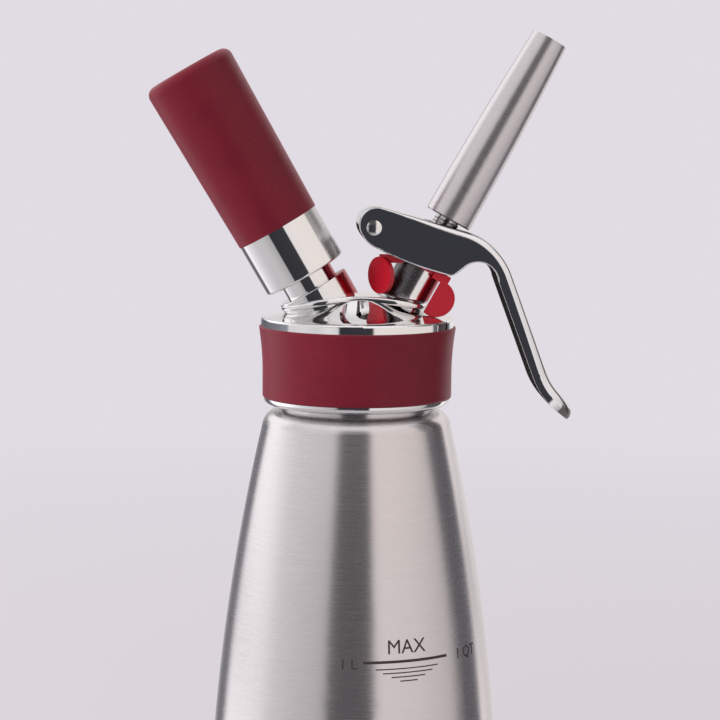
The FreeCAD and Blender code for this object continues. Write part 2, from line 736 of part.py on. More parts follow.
def make_charger_holder():
    """The steel holder: threaded ring, tube, and a step that the charger's end sits on."""
    thread_bore = "stub_radius + thread_clearance"
    charger_bore = "charger_radius + charger_bore_clearance"
    end_sphere = "sqrt(charger_radius * charger_radius - holder_pocket_radius * holder_pocket_radius)"
    step = CHARGER_END + " - charger_radius + %s + charger_bore_clearance" % end_sphere
    thread_top = "holder_gap + holder_thread_depth"
    pocket_top = TUBE_TOP + " - holder_end_wall"
    outline = [
        (thread_bore, "holder_gap"),
        ("holder_ring_radius - holder_ring_round", "holder_gap"),
        ("holder_ring_radius", "holder_gap + holder_ring_round", "holder_ring_round", -1),
        ("holder_ring_radius", RING_TOP),
        ("holder_tube_radius", RING_TOP),
        ("holder_tube_radius", TUBE_TOP + " - holder_end_wall"),
        ("holder_tube_radius - holder_end_wall", TUBE_TOP, "holder_end_wall", -1),
        ("0", TUBE_TOP),
        ("0", pocket_top),
        ("holder_pocket_radius", pocket_top),
        ("holder_pocket_radius", step),
        (charger_bore, step),
        (charger_bore, thread_top),
        (thread_bore, thread_top),
    ]
    body = turned("holder_turning", outline)
    # An axial groove in the ring lets gas out while the holder is unscrewed.
    floor_radius = "holder_ring_radius - holder_vent_depth"
    half_width = "holder_vent_width / 2"
    groove = block("vent_groove", "2 * holder_vent_depth", "holder_vent_width", "holder_vent_length")
    groove_foot = "(%s - holder_vent_length)" % RING_TOP
    place_x = "-holder_foot_x - %s * sin(holder_tilt) + (%s) * cos(holder_tilt)" % (groove_foot, floor_radius)
    place_z = "holder_foot_height + %s * cos(holder_tilt) + (%s) * sin(holder_tilt)" % (groove_foot, floor_radius)
    place(groove, place_x, "-(%s)" % half_width, place_z, "holder_tilt", LEFT)
    on_holder_axis(body)
    return sub_part(cut("charger_holder", body, [groove]), "charger_holder")


def make_holder_sleeve():
    """The silicone grip over the holder's tube."""
    sleeve_top = "(holder_gap + holder_ring_length + sleeve_length)"
    outline = [
        ("holder_tube_radius", RING_TOP),
        ("sleeve_foot_radius", RING_TOP),
        ("sleeve_top_radius", sleeve_top + " - sleeve_top_round"),
        ("sleeve_top_radius - sleeve_top_round", sleeve_top, "sleeve_top_round", -1),
        ("0", sleeve_top),
        ("0", TUBE_TOP),
        ("holder_tube_radius - holder_end_wall", TUBE_TOP),
        ("holder_tube_radius", TUBE_TOP + " - holder_end_wall", "holder_end_wall", 1),
    ]
    body = turned("holder_sleeve", outline)
    on_holder_axis(body)
    return sub_part(body, "holder_sleeve")


def make_gas_charger():
    """A pierced steel gas capsule: narrow neck, round shoulder and round end."""
    neck_top = CHARGER_FOOT + " + charger_neck_length"
    body_foot = neck_top + " + charger_shoulder_length"
    end_foot = CHARGER_END + " - charger_radius"
    step = "(charger_radius - charger_neck_radius)"
    shoulder = "(%s * %s + charger_shoulder_length * charger_shoulder_length) / (2 * %s)" % (step, step, step)
    inside = "charger_radius - charger_wall"
    outline = [
        ("charger_hole_radius", CHARGER_FOOT),
        ("charger_neck_radius", CHARGER_FOOT),
        ("charger_neck_radius", neck_top),
        ("charger_radius", body_foot, shoulder, -1),
        ("charger_radius", end_foot),
        ("0", CHARGER_END, "charger_radius", -1),
        ("0", CHARGER_END + " - charger_wall"),
        (inside, end_foot, inside, 1),
        (inside, body_foot),
        ("charger_neck_radius - charger_wall", neck_top, shoulder, 1),
        ("charger_neck_radius - charger_wall", CHARGER_FOOT + " + charger_wall"),
        ("charger_hole_radius", CHARGER_FOOT + " + charger_wall"),
    ]
    body = turned("gas_charger", outline)
    on_holder_axis(body)
    return sub_part(body, "gas_charger")


def make_inlet_parts():
    """Pin holder, hollow piercing pin, the charger's seal, and the check valve."""
    floor = "(stub_length - socket_depth)"
    foot = "(%s - pin_holder_length)" % floor
    plug_radius = "pin_holder_radius - pin_holder_clearance"
    pin_foot_top = "%s + piercing_pin_foot_length" % foot
    pin_plug = [
        ("piercing_pin_foot_radius", foot),
        (plug_radius, foot),
        (plug_radius, floor),
        ("piercing_pin_radius", floor),
        ("piercing_pin_radius", pin_foot_top),
        ("piercing_pin_foot_radius", pin_foot_top),
    ]
    plug = turned("pin_holder", pin_plug)
    on_holder_axis(plug)
    sub_part(plug, "pin_holder")

    tip_end = floor + " + piercing_pin_reach"
    point = "2 * (piercing_pin_radius - piercing_pin_bore)"
    needle = turned("piercing_pin", [
        ("piercing_pin_bore", foot),
        ("piercing_pin_foot_radius", foot),
        ("piercing_pin_foot_radius", pin_foot_top),
        ("piercing_pin_radius", pin_foot_top),
        ("piercing_pin_radius", "%s - %s" % (tip_end, point)),
        ("piercing_pin_bore", tip_end),
    ])
    on_holder_axis(needle)
    sub_part(needle, "piercing_pin")

    seal_radius = "socket_radius - seal_gap / 2"
    seal_bore = "piercing_pin_radius + seal_gap"
    seal = turned("charger_seal", [
        (seal_bore, floor),
        (seal_radius, floor),
        (seal_radius, floor + " + charger_seal_thickness"),
        (seal_bore, floor + " + charger_seal_thickness"),
    ])
    on_holder_axis(seal)
    sub_part(seal, "charger_seal")

    valve_top = "-inlet_tube_depth"
    nozzle_end = "(-inlet_tube_depth - inlet_nozzle_length)"
    flap = turned("check_valve", [
        ("check_valve_slit_radius", nozzle_end + " - check_valve_end"),
        ("inlet_nozzle_radius", nozzle_end + " - check_valve_end"),
        ("inlet_nozzle_radius + check_valve_wall", nozzle_end + " + check_valve_wall - check_valve_end",
         "check_valve_wall", -1),
        ("inlet_nozzle_radius + check_valve_wall", valve_top),
        ("inlet_nozzle_radius", valve_top),
        ("inlet_nozzle_radius", nozzle_end),
        ("check_valve_slit_radius", nozzle_end),
    ])
    on_holder_axis(flap)
    sub_part(flap, "check_valve")


# --- valve side -------------------------------------------------------------------


def ring_groove(height):
    """Corners of the piston's groove for a rubber ring, from the bottom up."""
    floor = "piston_radius + guide_clearance / 2 - 2 * ring_section_radius - ring_groove_gap"
    half = "(ring_section_radius + ring_groove_gap)"
    return [
        ("piston_radius", "(%s) - %s" % (height, half)),
        (floor, "(%s) - %s" % (height, half)),
        (floor, "(%s) + %s" % (height, half)),
        ("piston_radius", "(%s) + %s" % (height, half)),
    ]


SEAL_TOP = "(-valve_tube_depth - bush_lip - seal_gap)"
SEAL_FOOT = "(-valve_tube_depth - bush_lip - seal_gap - valve_seal_thickness)"


def make_piston():
    """The hollow valve piston: tail, two ring grooves, collar and threaded top."""
    outline = [
        ("piston_bore_radius", SEAL_TOP),
        ("piston_tail_radius", SEAL_TOP),
        ("piston_radius", SEAL_TOP),
    ]
    outline += ring_groove("-lower_ring_depth")
    outline += ring_groove("upper_ring_height")
    outline += [
        ("piston_radius", "piston_collar_height"),
        ("piston_collar_radius", "piston_collar_height"),
        ("piston_collar_radius", "piston_collar_height + piston_collar_thickness"),
        ("piston_thread_radius", "piston_collar_height + piston_collar_thickness"),
        ("piston_thread_radius", "piston_top"),
        ("piston_bore_radius", "piston_top"),
    ]
    stem = turned("piston_stem", outline)
    on_valve_axis(stem)
    tail_length = "piston_tail_end + " + SEAL_TOP + " + piston_radius"
    tail = on_valve_axis(cylinder("piston_tail", "piston_tail_radius", tail_length), "-piston_tail_end")
    port = cylinder("piston_port", "piston_port_radius", "4 * piston_radius")
    place(port, "valve_foot_x - piston_port_height * sin(valve_tilt)", "2 * piston_radius",
          "valve_foot_height - piston_port_height * cos(valve_tilt)", "90", FreeCAD.Vector(1, 0, 0))
    inner_bore = on_valve_axis(cylinder("piston_bore", "piston_bore_radius", "piston_top + piston_port_height"),
                               "-piston_port_height")
    whole = fused("piston_metal", [stem, tail])
    return sub_part(cut("valve_piston", whole, [inner_bore, port]), "valve_piston")


def make_piston_rings():
    """Two rubber rings in the piston's grooves."""
    middle = "piston_radius + guide_clearance / 2 - ring_section_radius"
    for name, height in (("lower_piston_ring", "-lower_ring_depth"), ("upper_piston_ring", "upper_ring_height")):
        ring = doc.addObject("Part::Torus", name)
        bind(ring, Radius1=middle, Radius2="ring_section_radius")
        sub_part(on_valve_axis(ring, height), name)


def make_valve_seal_parts():
    """Guide bush in the valve tube, the seal on the piston's tail and its retaining nut."""
    bush_bore = "piston_radius + guide_clearance"
    bush = turned("valve_bush", [
        (bush_bore, "-valve_tube_depth - bush_lip"),
        ("valve_tube_radius", "-valve_tube_depth - bush_lip"),
        ("valve_tube_radius", "-valve_tube_depth"),
        ("bush_radius", "-valve_tube_depth"),
        ("bush_radius", "-valve_tube_depth + bush_length"),
        (bush_bore, "-valve_tube_depth + bush_length"),
    ])
    on_valve_axis(bush)
    sub_part(bush, "valve_bush")
    seal = turned("valve_seal", [
        ("piston_tail_radius", SEAL_FOOT),
        ("valve_seal_radius", SEAL_FOOT),
        ("valve_seal_radius", SEAL_TOP),
        ("piston_tail_radius", SEAL_TOP),
    ])
    on_valve_axis(seal)
    sub_part(seal, "valve_seal")
    nut = doc.addObject("Part::Prism", "retainer_hex")
    nut.Polygon = 6
    bind(nut, Circumradius="retainer_radius", Height="retainer_thickness")
    on_valve_axis(nut, SEAL_FOOT + " - retainer_thickness")
    hole = on_valve_axis(cylinder("retainer_hole", "piston_tail_radius", "2 * retainer_thickness"),
                         SEAL_FOOT + " - 1.5 * retainer_thickness")
    sub_part(cut("seal_retainer", nut, [hole]), "seal_retainer")


def make_piston_spring():
    """A coil between the tower's counterbore and the piston's collar."""
    foot = "tower_height - spring_bore_depth + spring_wire_radius + spring_end_gap"
    coil_height = "(piston_collar_height - spring_wire_radius - spring_end_gap) - (%s)" % foot
    height = value(coil_height)
    turns = value("spring_turns")
    helix = Part.makeHelix(height / turns, height, value("spring_radius"))
    wire = Part.Wire(helix.Edges)
    start = FreeCAD.Vector(value("spring_radius"), 0, 0)
    section = Part.Wire(Part.makeCircle(value("spring_wire_radius"), start, RIGHT))
    spring = doc.addObject("Part::Feature", "piston_spring")
    spring.Shape = wire.makePipeShell([section], True, True)
    on_valve_axis(spring, foot)
    return sub_part(spring, "piston_spring")


def make_decorating_tip():
    """The steel tip that screws onto the piston."""
    top = "(tip_base_height + tip_length)"
    socket_top = "tip_base_height + tip_socket_depth"
    thread = "piston_thread_radius + thread_clearance"
    body = turned("decorating_tip", [
        (thread, "tip_base_height"),
        ("tip_base_radius - tip_edge", "tip_base_height"),
        ("tip_base_radius", "tip_base_height + tip_edge"),
        ("tip_outlet_radius", top, "tip_barrel_radius", -1),
        ("tip_mouth_radius", top),
        ("tip_bore_radius", top + " - tip_mouth_depth"),
        ("tip_bore_radius", socket_top),
        (thread, socket_top),
    ])
    on_valve_axis(body)
    return sub_part(body, "decorating_tip")


# --- lever ------------------------------------------------------------------------


def lever_lines():
    """Corners of the lever's outer edge, as expressions measured from the pin."""
    end_x = "(lever_end_x + lever_end_radius * sin(lever_top_slope))"
    end_z = "(lever_end_rise + lever_end_radius * cos(lever_top_slope))"
    bend_z = "(%s - (lever_bend_x - %s) * tan(lever_top_slope))" % (end_z, end_x)
    grip_x = "(lever_bend_x + lever_bend_radius * (sin(handle_slope) - sin(lever_top_slope)))"
    grip_z = "(%s + lever_bend_radius * (cos(handle_slope) - cos(lever_top_slope)))" % bend_z
    foot_x = "(%s + handle_length * cos(handle_slope))" % grip_x
    foot_z = "(%s - handle_length * sin(handle_slope))" % grip_z
    tip_slope = "(handle_slope - handle_flick_angle)"
    flick_x = "(%s + handle_flick_radius * (sin(handle_slope) - sin%s))" % (foot_x, tip_slope)
    flick_z = "(%s + handle_flick_radius * (cos(handle_slope) - cos%s))" % (foot_z, tip_slope)
    tip_x = "(%s + handle_tip_length * cos%s)" % (flick_x, tip_slope)
    tip_z = "(%s - handle_tip_length * sin%s)" % (flick_z, tip_slope)
    nose_x = "(%s + nose_radius * (sin(%s + nose_turn) - sin%s))" % (tip_x, tip_slope, tip_slope)
    nose_z = "(%s + nose_radius * (cos(%s + nose_turn) - cos%s))" % (tip_z, tip_slope, tip_slope)
    return dict(end=(end_x, end_z), bend=("lever_bend_x", bend_z), grip=(grip_x, grip_z), foot=(foot_x, foot_z),
                flick=(flick_x, flick_z), tip=(tip_x, tip_z), nose=(nose_x, nose_z), slope=tip_slope)


def lever_outline(points):
    """The lever seen from the side: end, top edge, bend, handle, nose, arch, lobe, belly."""
    slope = points["slope"]
    flick_x, flick_z = points["flick"]
    foot_x, foot_z = points["foot"]
    grip_x, grip_z = points["grip"]
    heel_run = "handle_tip_length / 2"
    in_flick_x = "(%s - handle_depth * sin%s)" % (flick_x, slope)
    in_flick_z = "(%s - handle_depth * cos%s)" % (flick_z, slope)
    in_grip_x = "(%s - handle_depth * sin(handle_slope))" % grip_x
    in_grip_z = "(%s - handle_depth * cos(handle_slope))" % grip_z
    half_arch = "(sqrt((%s - arch_left_x)^2 + (%s + arch_left_drop)^2) / 2)" % (in_grip_x, in_grip_z)
    arch_radius = "(%s^2 + arch_rise^2) / (2 * arch_rise)" % half_arch
    return [
        points["end"] + ("lever_end_radius", 1),
        points["bend"],
        points["grip"] + ("lever_bend_radius", 1),
        points["foot"],
        points["flick"] + ("handle_flick_radius", -1),
        points["tip"],
        points["nose"] + ("nose_radius", 1),
        ("%s + %s * cos%s" % (in_flick_x, heel_run, slope), "%s - %s * sin%s" % (in_flick_z, heel_run, slope)),
        (in_flick_x, in_flick_z),
        (foot_x + " - handle_depth * sin(handle_slope)", foot_z + " - handle_depth * cos(handle_slope)",
         "handle_flick_radius + handle_depth", 1),
        (in_grip_x, in_grip_z),
        ("arch_left_x", "-arch_left_drop", arch_radius, -1),
        ("lobe_right_x", "-lobe_right_drop"),
        ("lobe_left_x", "-lobe_left_drop", "lobe_radius", 1),
        ("belly_end_x", "-belly_end_drop", "belly_radius", 1),
        ("lever_end_x - lever_end_radius * cos(chin_turn)", "lever_end_rise - lever_end_radius * sin(chin_turn)",
         "chin_radius", 1),
    ]


def channel_outline(points):
    """What is hollowed out between the lever's sides, inside its end, top and back walls."""
    slope = points["slope"]
    bend_x, bend_z = points["bend"]
    grip_x, grip_z = points["grip"]
    foot_x, foot_z = points["foot"]
    flick_x, flick_z = points["flick"]
    end_inside = "(lever_end_radius - lever_top_wall)"
    return [
        ("lever_end_x - " + end_inside, "lever_end_rise"),
        ("lever_end_x + %s * sin(lever_top_slope)" % end_inside,
         "lever_end_rise + %s * cos(lever_top_slope)" % end_inside, end_inside, 1),
        (bend_x + " - lever_top_wall * sin(lever_top_slope)", bend_z + " - lever_top_wall * cos(lever_top_slope)"),
        (grip_x + " - lever_top_wall * sin(handle_slope)", grip_z + " - lever_top_wall * cos(handle_slope)",
         "lever_bend_radius - lever_top_wall", 1),
        (foot_x + " - lever_top_wall * sin(handle_slope)", foot_z + " - lever_top_wall * cos(handle_slope)"),
        ("%s - lever_top_wall * sin%s" % (flick_x, slope), "%s - lever_top_wall * cos%s" % (flick_z, slope),
         "handle_flick_radius + lever_top_wall", -1),
        ("%s - 3 * handle_depth * sin%s" % (flick_x, slope), "%s - 3 * handle_depth * cos%s" % (flick_z, slope)),
        ("-2 * lever_end_radius", foot_z + " - 2 * handle_depth"),
        ("-2 * lever_end_radius", "lever_end_rise"),
    ]


def round_tongue(points):
    """The room that a handle fills when it ends in a half circle with a rounded upper edge."""
    slope = points["slope"]
    tip_x, tip_z = points["tip"]
    half = "lever_width / 2"
    reach = "2 * lever_width"
    setback = "(lever_width / 2 - nose_radius * sin(nose_turn))"
    centre_x = "(pin_x + %s - %s * cos%s)" % (tip_x, setback, slope)
    centre_z = "(pin_height + %s + %s * sin%s)" % (tip_z, setback, slope)
    puck = turned("tongue_end", [
        ("0", "-(%s)" % reach),
        (half, "-(%s)" % reach),
        (half, "-tip_edge_radius"),
        (half + " - tip_edge_radius", "0", "tip_edge_radius", -1),
        ("0", "0"),
    ])
    place(puck, centre_x, "0", centre_z, slope, RIGHT)
    rest = block("tongue_rest", "4 * " + reach, "lever_width", "2 * " + reach)
    place(rest, "%s - 4 * %s * cos%s - %s * sin%s" % (centre_x, reach, slope, reach, slope), "-(%s)" % half,
          "%s + 4 * %s * sin%s - %s * cos%s" % (centre_z, reach, slope, reach, slope), slope, RIGHT)
    return fused("round_tongue", [puck, rest])


def side_pad(name, outline, width):
    """A plate of the lever's side view, as thick as the lever or its channel is wide."""
    body = doc.addObject("PartDesign::Body", name)
    sketch = draw_outline(new_sketch(body, name + "_side"), outline)
    pad_both_ways(body, sketch, name + "_pad", width)
    return place(body, "pin_x", "0", "pin_height")


def round_rims(blank, points):
    """Round the lever's outer rims: the radius grows round the bend and again to the tip."""
    doc.recompute()
    half = value("lever_width") / 2
    steps = [
        (value("pin_x + " + points["bend"][0]), value("lever_edge_radius")),
        (value("pin_x + " + points["grip"][0]), value("handle_edge_radius")),
        (value("pin_x + " + points["flick"][0]), value("tip_edge_radius")),
    ]

    def radius_at(point):
        if point.x <= steps[0][0]:
            return steps[0][1]
        for (start, small), (finish, large) in zip(steps, steps[1:]):
            if point.x <= finish:
                return small + (large - small) * (point.x - start) / (finish - start)
        return steps[-1][1]

    keys = ("end", "bend", "grip", "foot", "flick", "tip", "nose")
    skin = [(value("pin_x + " + points[key][0]), value("pin_height + " + points[key][1])) for key in keys]
    rims = []
    for index, edge in enumerate(blank.Shape.Edges, start=1):
        ends = [edge.valueAt(edge.FirstParameter), edge.valueAt(edge.LastParameter)]
        level = abs(abs(ends[0].y) - half) < 1e-4 and abs(ends[0].y - ends[1].y) < 1e-4
        marks = [any(abs(end.x - x) + abs(end.z - z) < 1e-3 for x, z in skin) for end in ends]
        if level and any(marks) and (all(marks) or edge.BoundBox.XMin < value("pin_x")):
            rims.append((index, radius_at(ends[0]), radius_at(ends[1])))
    fillet = doc.addObject("Part::Fillet", "lever_rims")
    fillet.Base = blank
    fillet.Edges = rims
    return fillet


def make_lever():
    """The polished lever: a channel over the tower that runs down into the handle."""
    points = lever_lines()
    blank = side_pad("lever_blank", lever_outline(points), "lever_width")
    rimmed = round_rims(blank, points)
    tongued = common("lever_tongued", rimmed, round_tongue(points))
    channel = side_pad("lever_channel", channel_outline(points), "lever_width - 2 * lever_side_wall")

    slot_radius = "piston_thread_radius + slot_clearance"
    slot_depth = "2 * piston_collar_height"
    right_end = on_valve_axis(cylinder("slot_right", slot_radius, slot_depth), "piston_collar_height")
    left_end = cylinder("slot_left", slot_radius, slot_depth)
    middle = block("slot_middle", "slot_travel", "2 * (%s)" % slot_radius, slot_depth)
    for item, shift_y in ((left_end, "0"), (middle, "-(%s)" % slot_radius)):
        place(item, "valve_foot_x + piston_collar_height * sin(valve_tilt) - slot_travel * cos(valve_tilt)", shift_y,
              "valve_foot_height + piston_collar_height * cos(valve_tilt) + slot_travel * sin(valve_tilt)",
              "valve_tilt", RIGHT)
    pin_hole = cylinder("lever_pin_hole", "pin_radius", "2 * lever_width")
    place(pin_hole, "pin_x", "lever_width", "pin_height", "90", FreeCAD.Vector(1, 0, 0))
    return sub_part(cut("lever", tongued, [channel, right_end, left_end, middle, pin_hole]), "lever")


def make_lever_pin():
    """The pin through the lever's sides and the casting's lug, domed at both ends."""
    half = "lever_width / 2"
    dome = "(pin_radius * pin_radius + pin_dome * pin_dome) / (2 * pin_dome)"
    body = turned("lever_pin", [
        ("0", "-(%s) - pin_dome" % half),
        ("pin_radius", "-(%s)" % half, dome, -1),
        ("pin_radius", half),
        ("0", "%s + pin_dome" % half, dome, -1),
    ])
    place(body, "pin_x", "0", "pin_height", "90", FreeCAD.Vector(1, 0, 0))
    return sub_part(body, "lever_pin")


def make_valve_clip():
    """The plastic clip that snaps round the tower, with two finger tabs on straps."""
    ring_radius = "tower_radius + clip_clearance + clip_wall"
    ring = on_valve_axis(cylinder("clip_ring", ring_radius, "clip_thickness"), "clip_height")
    mouth = block("clip_mouth", "2 * tower_radius", "clip_mouth_width", "3 * clip_thickness")
    place(mouth, "valve_foot_x + (clip_height - clip_thickness) * sin(valve_tilt) - 2 * tower_radius * cos(valve_tilt)",
          "-clip_mouth_width / 2",
          "valve_foot_height + (clip_height - clip_thickness) * cos(valve_tilt) + 2 * tower_radius * sin(valve_tilt)",
          "valve_tilt", RIGHT)
    open_ring = cut("clip_open_ring", ring, [mouth])

    turn = math.radians(value("left_tab_turn"))
    facing = FreeCAD.Vector(-math.sin(turn), -math.cos(turn), 0)
    left_tab = cylinder("left_tab", "tab_radius", "tab_thickness")
    spot = FreeCAD.Vector(value("left_tab_x"), -value("left_tab_y"), value("left_tab_height"))
    left_tab.Placement = FreeCAD.Placement(spot - facing * value("tab_thickness"), FreeCAD.Rotation(UP, facing))
    ring_x = "valve_foot_x + (clip_height + clip_thickness / 2) * sin(valve_tilt)"
    left_strap = block("left_strap", "%s - tower_radius * sin(60) - left_tab_x" % ring_x, "tab_thickness",
                       "left_strap_width")
    place(left_strap, "left_tab_x", "-left_tab_y - tab_thickness / 2", "left_strap_height")

    right_face = "-right_tab_y - tab_thickness / 2"
    right_disc = cylinder("right_disc", "tab_radius", "tab_thickness")
    place(right_disc, "right_tab_x", "-right_tab_y + tab_thickness / 2", "right_tab_height", "90",
          FreeCAD.Vector(1, 0, 0))
    trim = block("right_trim", "4 * tab_radius", "4 * tab_thickness", "8 * tab_radius")
    trim_far = "(4 * tab_radius - right_tab_trim)"
    trim_low = "4 * tab_radius"
    place(trim, "valve_foot_x - %s * cos(valve_tilt) - %s * sin(valve_tilt)" % (trim_far, trim_low),
          right_face + " - tab_thickness",
          "valve_foot_height + %s * sin(valve_tilt) - %s * cos(valve_tilt)" % (trim_far, trim_low),
          "valve_tilt", RIGHT)
    right_tab = cut("right_tab", right_disc, [trim])
    strap_root = "clip_mouth_width / 2"
    right_strap = block("right_strap", "right_strap_reach - " + strap_root, "tab_thickness", "right_strap_width")
    place(right_strap, "valve_foot_x + %s * cos(valve_tilt) + right_strap_height * sin(valve_tilt)" % strap_root,
          right_face,
          "valve_foot_height - %s * sin(valve_tilt) + right_strap_height * cos(valve_tilt)" % strap_root,
          "valve_tilt", RIGHT)
    whole = fused("clip_whole", [open_ring, left_tab, left_strap, right_tab, right_strap])
    bore = on_valve_axis(cylinder("clip_bore", "tower_radius + clip_clearance", "4 * tower_height"),
                         "-2 * tower_height")
    return sub_part(cut("valve_clip", whole, [bore]), "valve_clip")


# --- build, check and export ------------------------------------------------------


def check_document():
    """Stop if any object failed or any sub-part has no sound shape."""
    for item in doc.Objects:
        if "Invalid" in item.State or "Error" in item.State:
            raise RuntimeError("%s failed: %s" % (item.Label, item.State))
    for item in SUB_PARTS:
        shape = item.Shape
        if shape.isNull() or not shape.isValid() or not shape.Solids:
            raise RuntimeError("%s has no valid solid" % item.Label)


make_bottle()
make_head_cap()
make_grip_band()
make_head_gasket()
make_head_bridge()
make_charger_holder()
make_holder_sleeve()
make_gas_charger()
make_inlet_parts()
make_piston()
make_piston_rings()
make_valve_seal_parts()
make_piston_spring()
make_decorating_tip()
make_lever()
make_lever_pin()
make_valve_clip()
doc.recompute()
check_document()

os.makedirs("parts", exist_ok=True)
for item in SUB_PARTS:
    item.Shape.exportStep(os.path.join("parts", item.Label + ".step"))
    print("%-20s %2d solid(s) %10.1f mm3" % (item.Label, len(item.Shape.Solids), item.Shape.Volume))
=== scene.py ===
import math

import bmesh
import bpy
from mathutils import Matrix, Vector
from mathutils.bvhtree import BVHTree


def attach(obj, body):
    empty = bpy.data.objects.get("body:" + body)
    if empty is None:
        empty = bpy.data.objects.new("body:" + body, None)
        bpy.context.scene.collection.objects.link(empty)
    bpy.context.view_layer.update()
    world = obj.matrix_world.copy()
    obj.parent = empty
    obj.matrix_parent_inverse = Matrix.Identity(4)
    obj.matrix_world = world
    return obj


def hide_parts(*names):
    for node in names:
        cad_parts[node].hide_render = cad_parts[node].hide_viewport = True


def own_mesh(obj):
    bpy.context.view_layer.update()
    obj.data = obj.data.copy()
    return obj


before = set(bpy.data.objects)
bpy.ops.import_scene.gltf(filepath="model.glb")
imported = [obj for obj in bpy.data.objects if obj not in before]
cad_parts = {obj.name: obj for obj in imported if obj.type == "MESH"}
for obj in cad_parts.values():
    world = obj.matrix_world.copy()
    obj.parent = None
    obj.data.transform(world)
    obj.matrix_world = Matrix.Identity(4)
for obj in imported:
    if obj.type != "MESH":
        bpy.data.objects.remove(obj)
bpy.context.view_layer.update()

# Metres and degrees, in the frame of the CAD model: +Z is up, the valve leans to +X.
# An azimuth is counted round the bottle from -Y, positive towards +X.

HOLDER_FOOT = Vector((-0.0172, 0, 0.2436))
HOLDER_TILT = -30.3
VALVE_FOOT = Vector((0.0199, 0, 0.2442))
VALVE_TILT = 29.0
ORIGIN = Vector((0, 0, 0))

BOTTLE_BODY = "bottle"
PISTON_BODY = "piston"
HEAD_BODY = "head"

# --- camera -----------------------------------------------------------------------

CAMERA_DISTANCE = 0.870
CAMERA_HEIGHT = 0.314
CAMERA_AZIMUTH = -3.0
CAMERA_AIM = Vector((0.0011, 0, 0.2158))
CAMERA_ROLL = 0.5
CAMERA_LENS = 115.2
SENSOR_WIDTH = 36


def make_camera():
    """A long lens a little above the head and slightly to the charger's side."""
    data = bpy.data.cameras.new("camera")
    data.lens = CAMERA_LENS
    data.sensor_width = SENSOR_WIDTH
    camera = bpy.data.objects.new("camera", data)
    bpy.context.scene.collection.objects.link(camera)
    turn = math.radians(CAMERA_AZIMUTH)
    outward = Vector((math.sin(turn), -math.cos(turn), 0))
    spot = outward * CAMERA_DISTANCE + Vector((0, 0, CAMERA_HEIGHT))
    look = (CAMERA_AIM - spot).to_track_quat("-Z", "Y").to_matrix().to_4x4()
    roll = Matrix.Rotation(math.radians(CAMERA_ROLL), 4, "Z")
    camera.matrix_world = Matrix.Translation(spot) @ look @ roll
    bpy.context.scene.camera = camera


# --- shader helpers ---------------------------------------------------------------

class Tree:
    """A short way to add and join shader nodes."""

    def __init__(self, tree):
        self.tree = tree
        tree.nodes.clear()

    def add(self, kind, inputs=None, **settings):
        node = self.tree.nodes.new(kind)
        for name, setting in settings.items():
            setattr(node, name, setting)
        for key, source in (inputs or {}).items():
            self.feed(node.inputs[key], source)
        return node

    def feed(self, socket, source):
        if isinstance(source, bpy.types.NodeSocket):
            self.tree.links.new(source, socket)
        elif isinstance(source, bpy.types.Node):
            self.tree.links.new(source.outputs[0], socket)
        else:
            socket.default_value = source

    def math(self, operation, first, second=0.0, third=0.0):
        inputs = {0: first, 1: second, 2: third}
        return self.add("ShaderNodeMath", inputs, operation=operation)

    def step(self, source, low, high, start=0.0, end=1.0):
        """A straight change from start to end while the source goes from low to high."""
        inputs = {0: source, 1: low, 2: high, 3: start, 4: end}
        return self.add("ShaderNodeMapRange", inputs).outputs[0]

    def mix(self, share, first, second):
        inputs = {0: share, 6: first, 7: second}
        return self.add("ShaderNodeMix", inputs, data_type="RGBA").outputs[2]

    def noise(self, place, scale, detail=3.0):
        inputs = {"Vector": place, "Scale": scale, "Detail": detail}
        return self.add("ShaderNodeTexNoise", inputs).outputs[0]

    def bump(self, height, strength, distance):
        inputs = {"Strength": strength, "Distance": distance, "Height": height}
        return self.add("ShaderNodeBump", inputs)

    def ramp(self, source, stops):
        node = self.add("ShaderNodeValToRGB", {0: source})
        elements = node.color_ramp.elements
        while len(elements) > 1:
            elements.remove(elements[-1])
        for index, (position, colour) in enumerate(stops):
            element = elements[0] if index == 0 else elements.new(position)
            element.position = position
            element.color = (*colour, 1)
        return node


def shade(colour, share):
    """A colour made darker or lighter by a share."""
    return tuple(min(level * share, 1.0) for level in colour)


# --- studio -----------------------------------------------------------------------

BACKGROUND = (0.753, 0.716, 0.771)
FLOOR_COLOUR = (0.64, 0.605, 0.64)

# What the metal sees all round: panels of soft light with dark room between them, and the
# dark gap where the camera stands, as (azimuth, level, tint).  The low ring is level with
# the object and the high ring above it.  The band is a strip just under the horizon, which
# only the cap's upright rim mirrors.
LEFT_TINT = (1.0, 0.98, 1.0)
RIGHT_TINT = (1.0, 0.95, 0.94)
WARM_TINT = (1.0, 0.93, 0.89)
ROOM_TINT = (1.0, 1.02, 1.2)
BAND_RING = [
    (-180, 0.8, LEFT_TINT),
    (-172, 0.2, ROOM_TINT),
    (-150, 0.15, ROOM_TINT),
    (-112, 0.25, ROOM_TINT),
    (-95, 0.35, ROOM_TINT),
    (-92, 0.85, LEFT_TINT),
    (-70, 0.9, LEFT_TINT),
    (-52, 0.8, LEFT_TINT),
    (-38, 0.95, LEFT_TINT),
    (-26, 0.85, LEFT_TINT),
    (-23.5, 0.04, ROOM_TINT),
    (15, 0.05, ROOM_TINT),
    (17.5, 1.0, WARM_TINT),
    (60, 1.0, WARM_TINT),
    (97, 0.95, WARM_TINT),
    (101, 0.15, ROOM_TINT),
    (138, 0.15, ROOM_TINT),
    (144, 1.0, LEFT_TINT),
    (180, 0.8, LEFT_TINT),
]
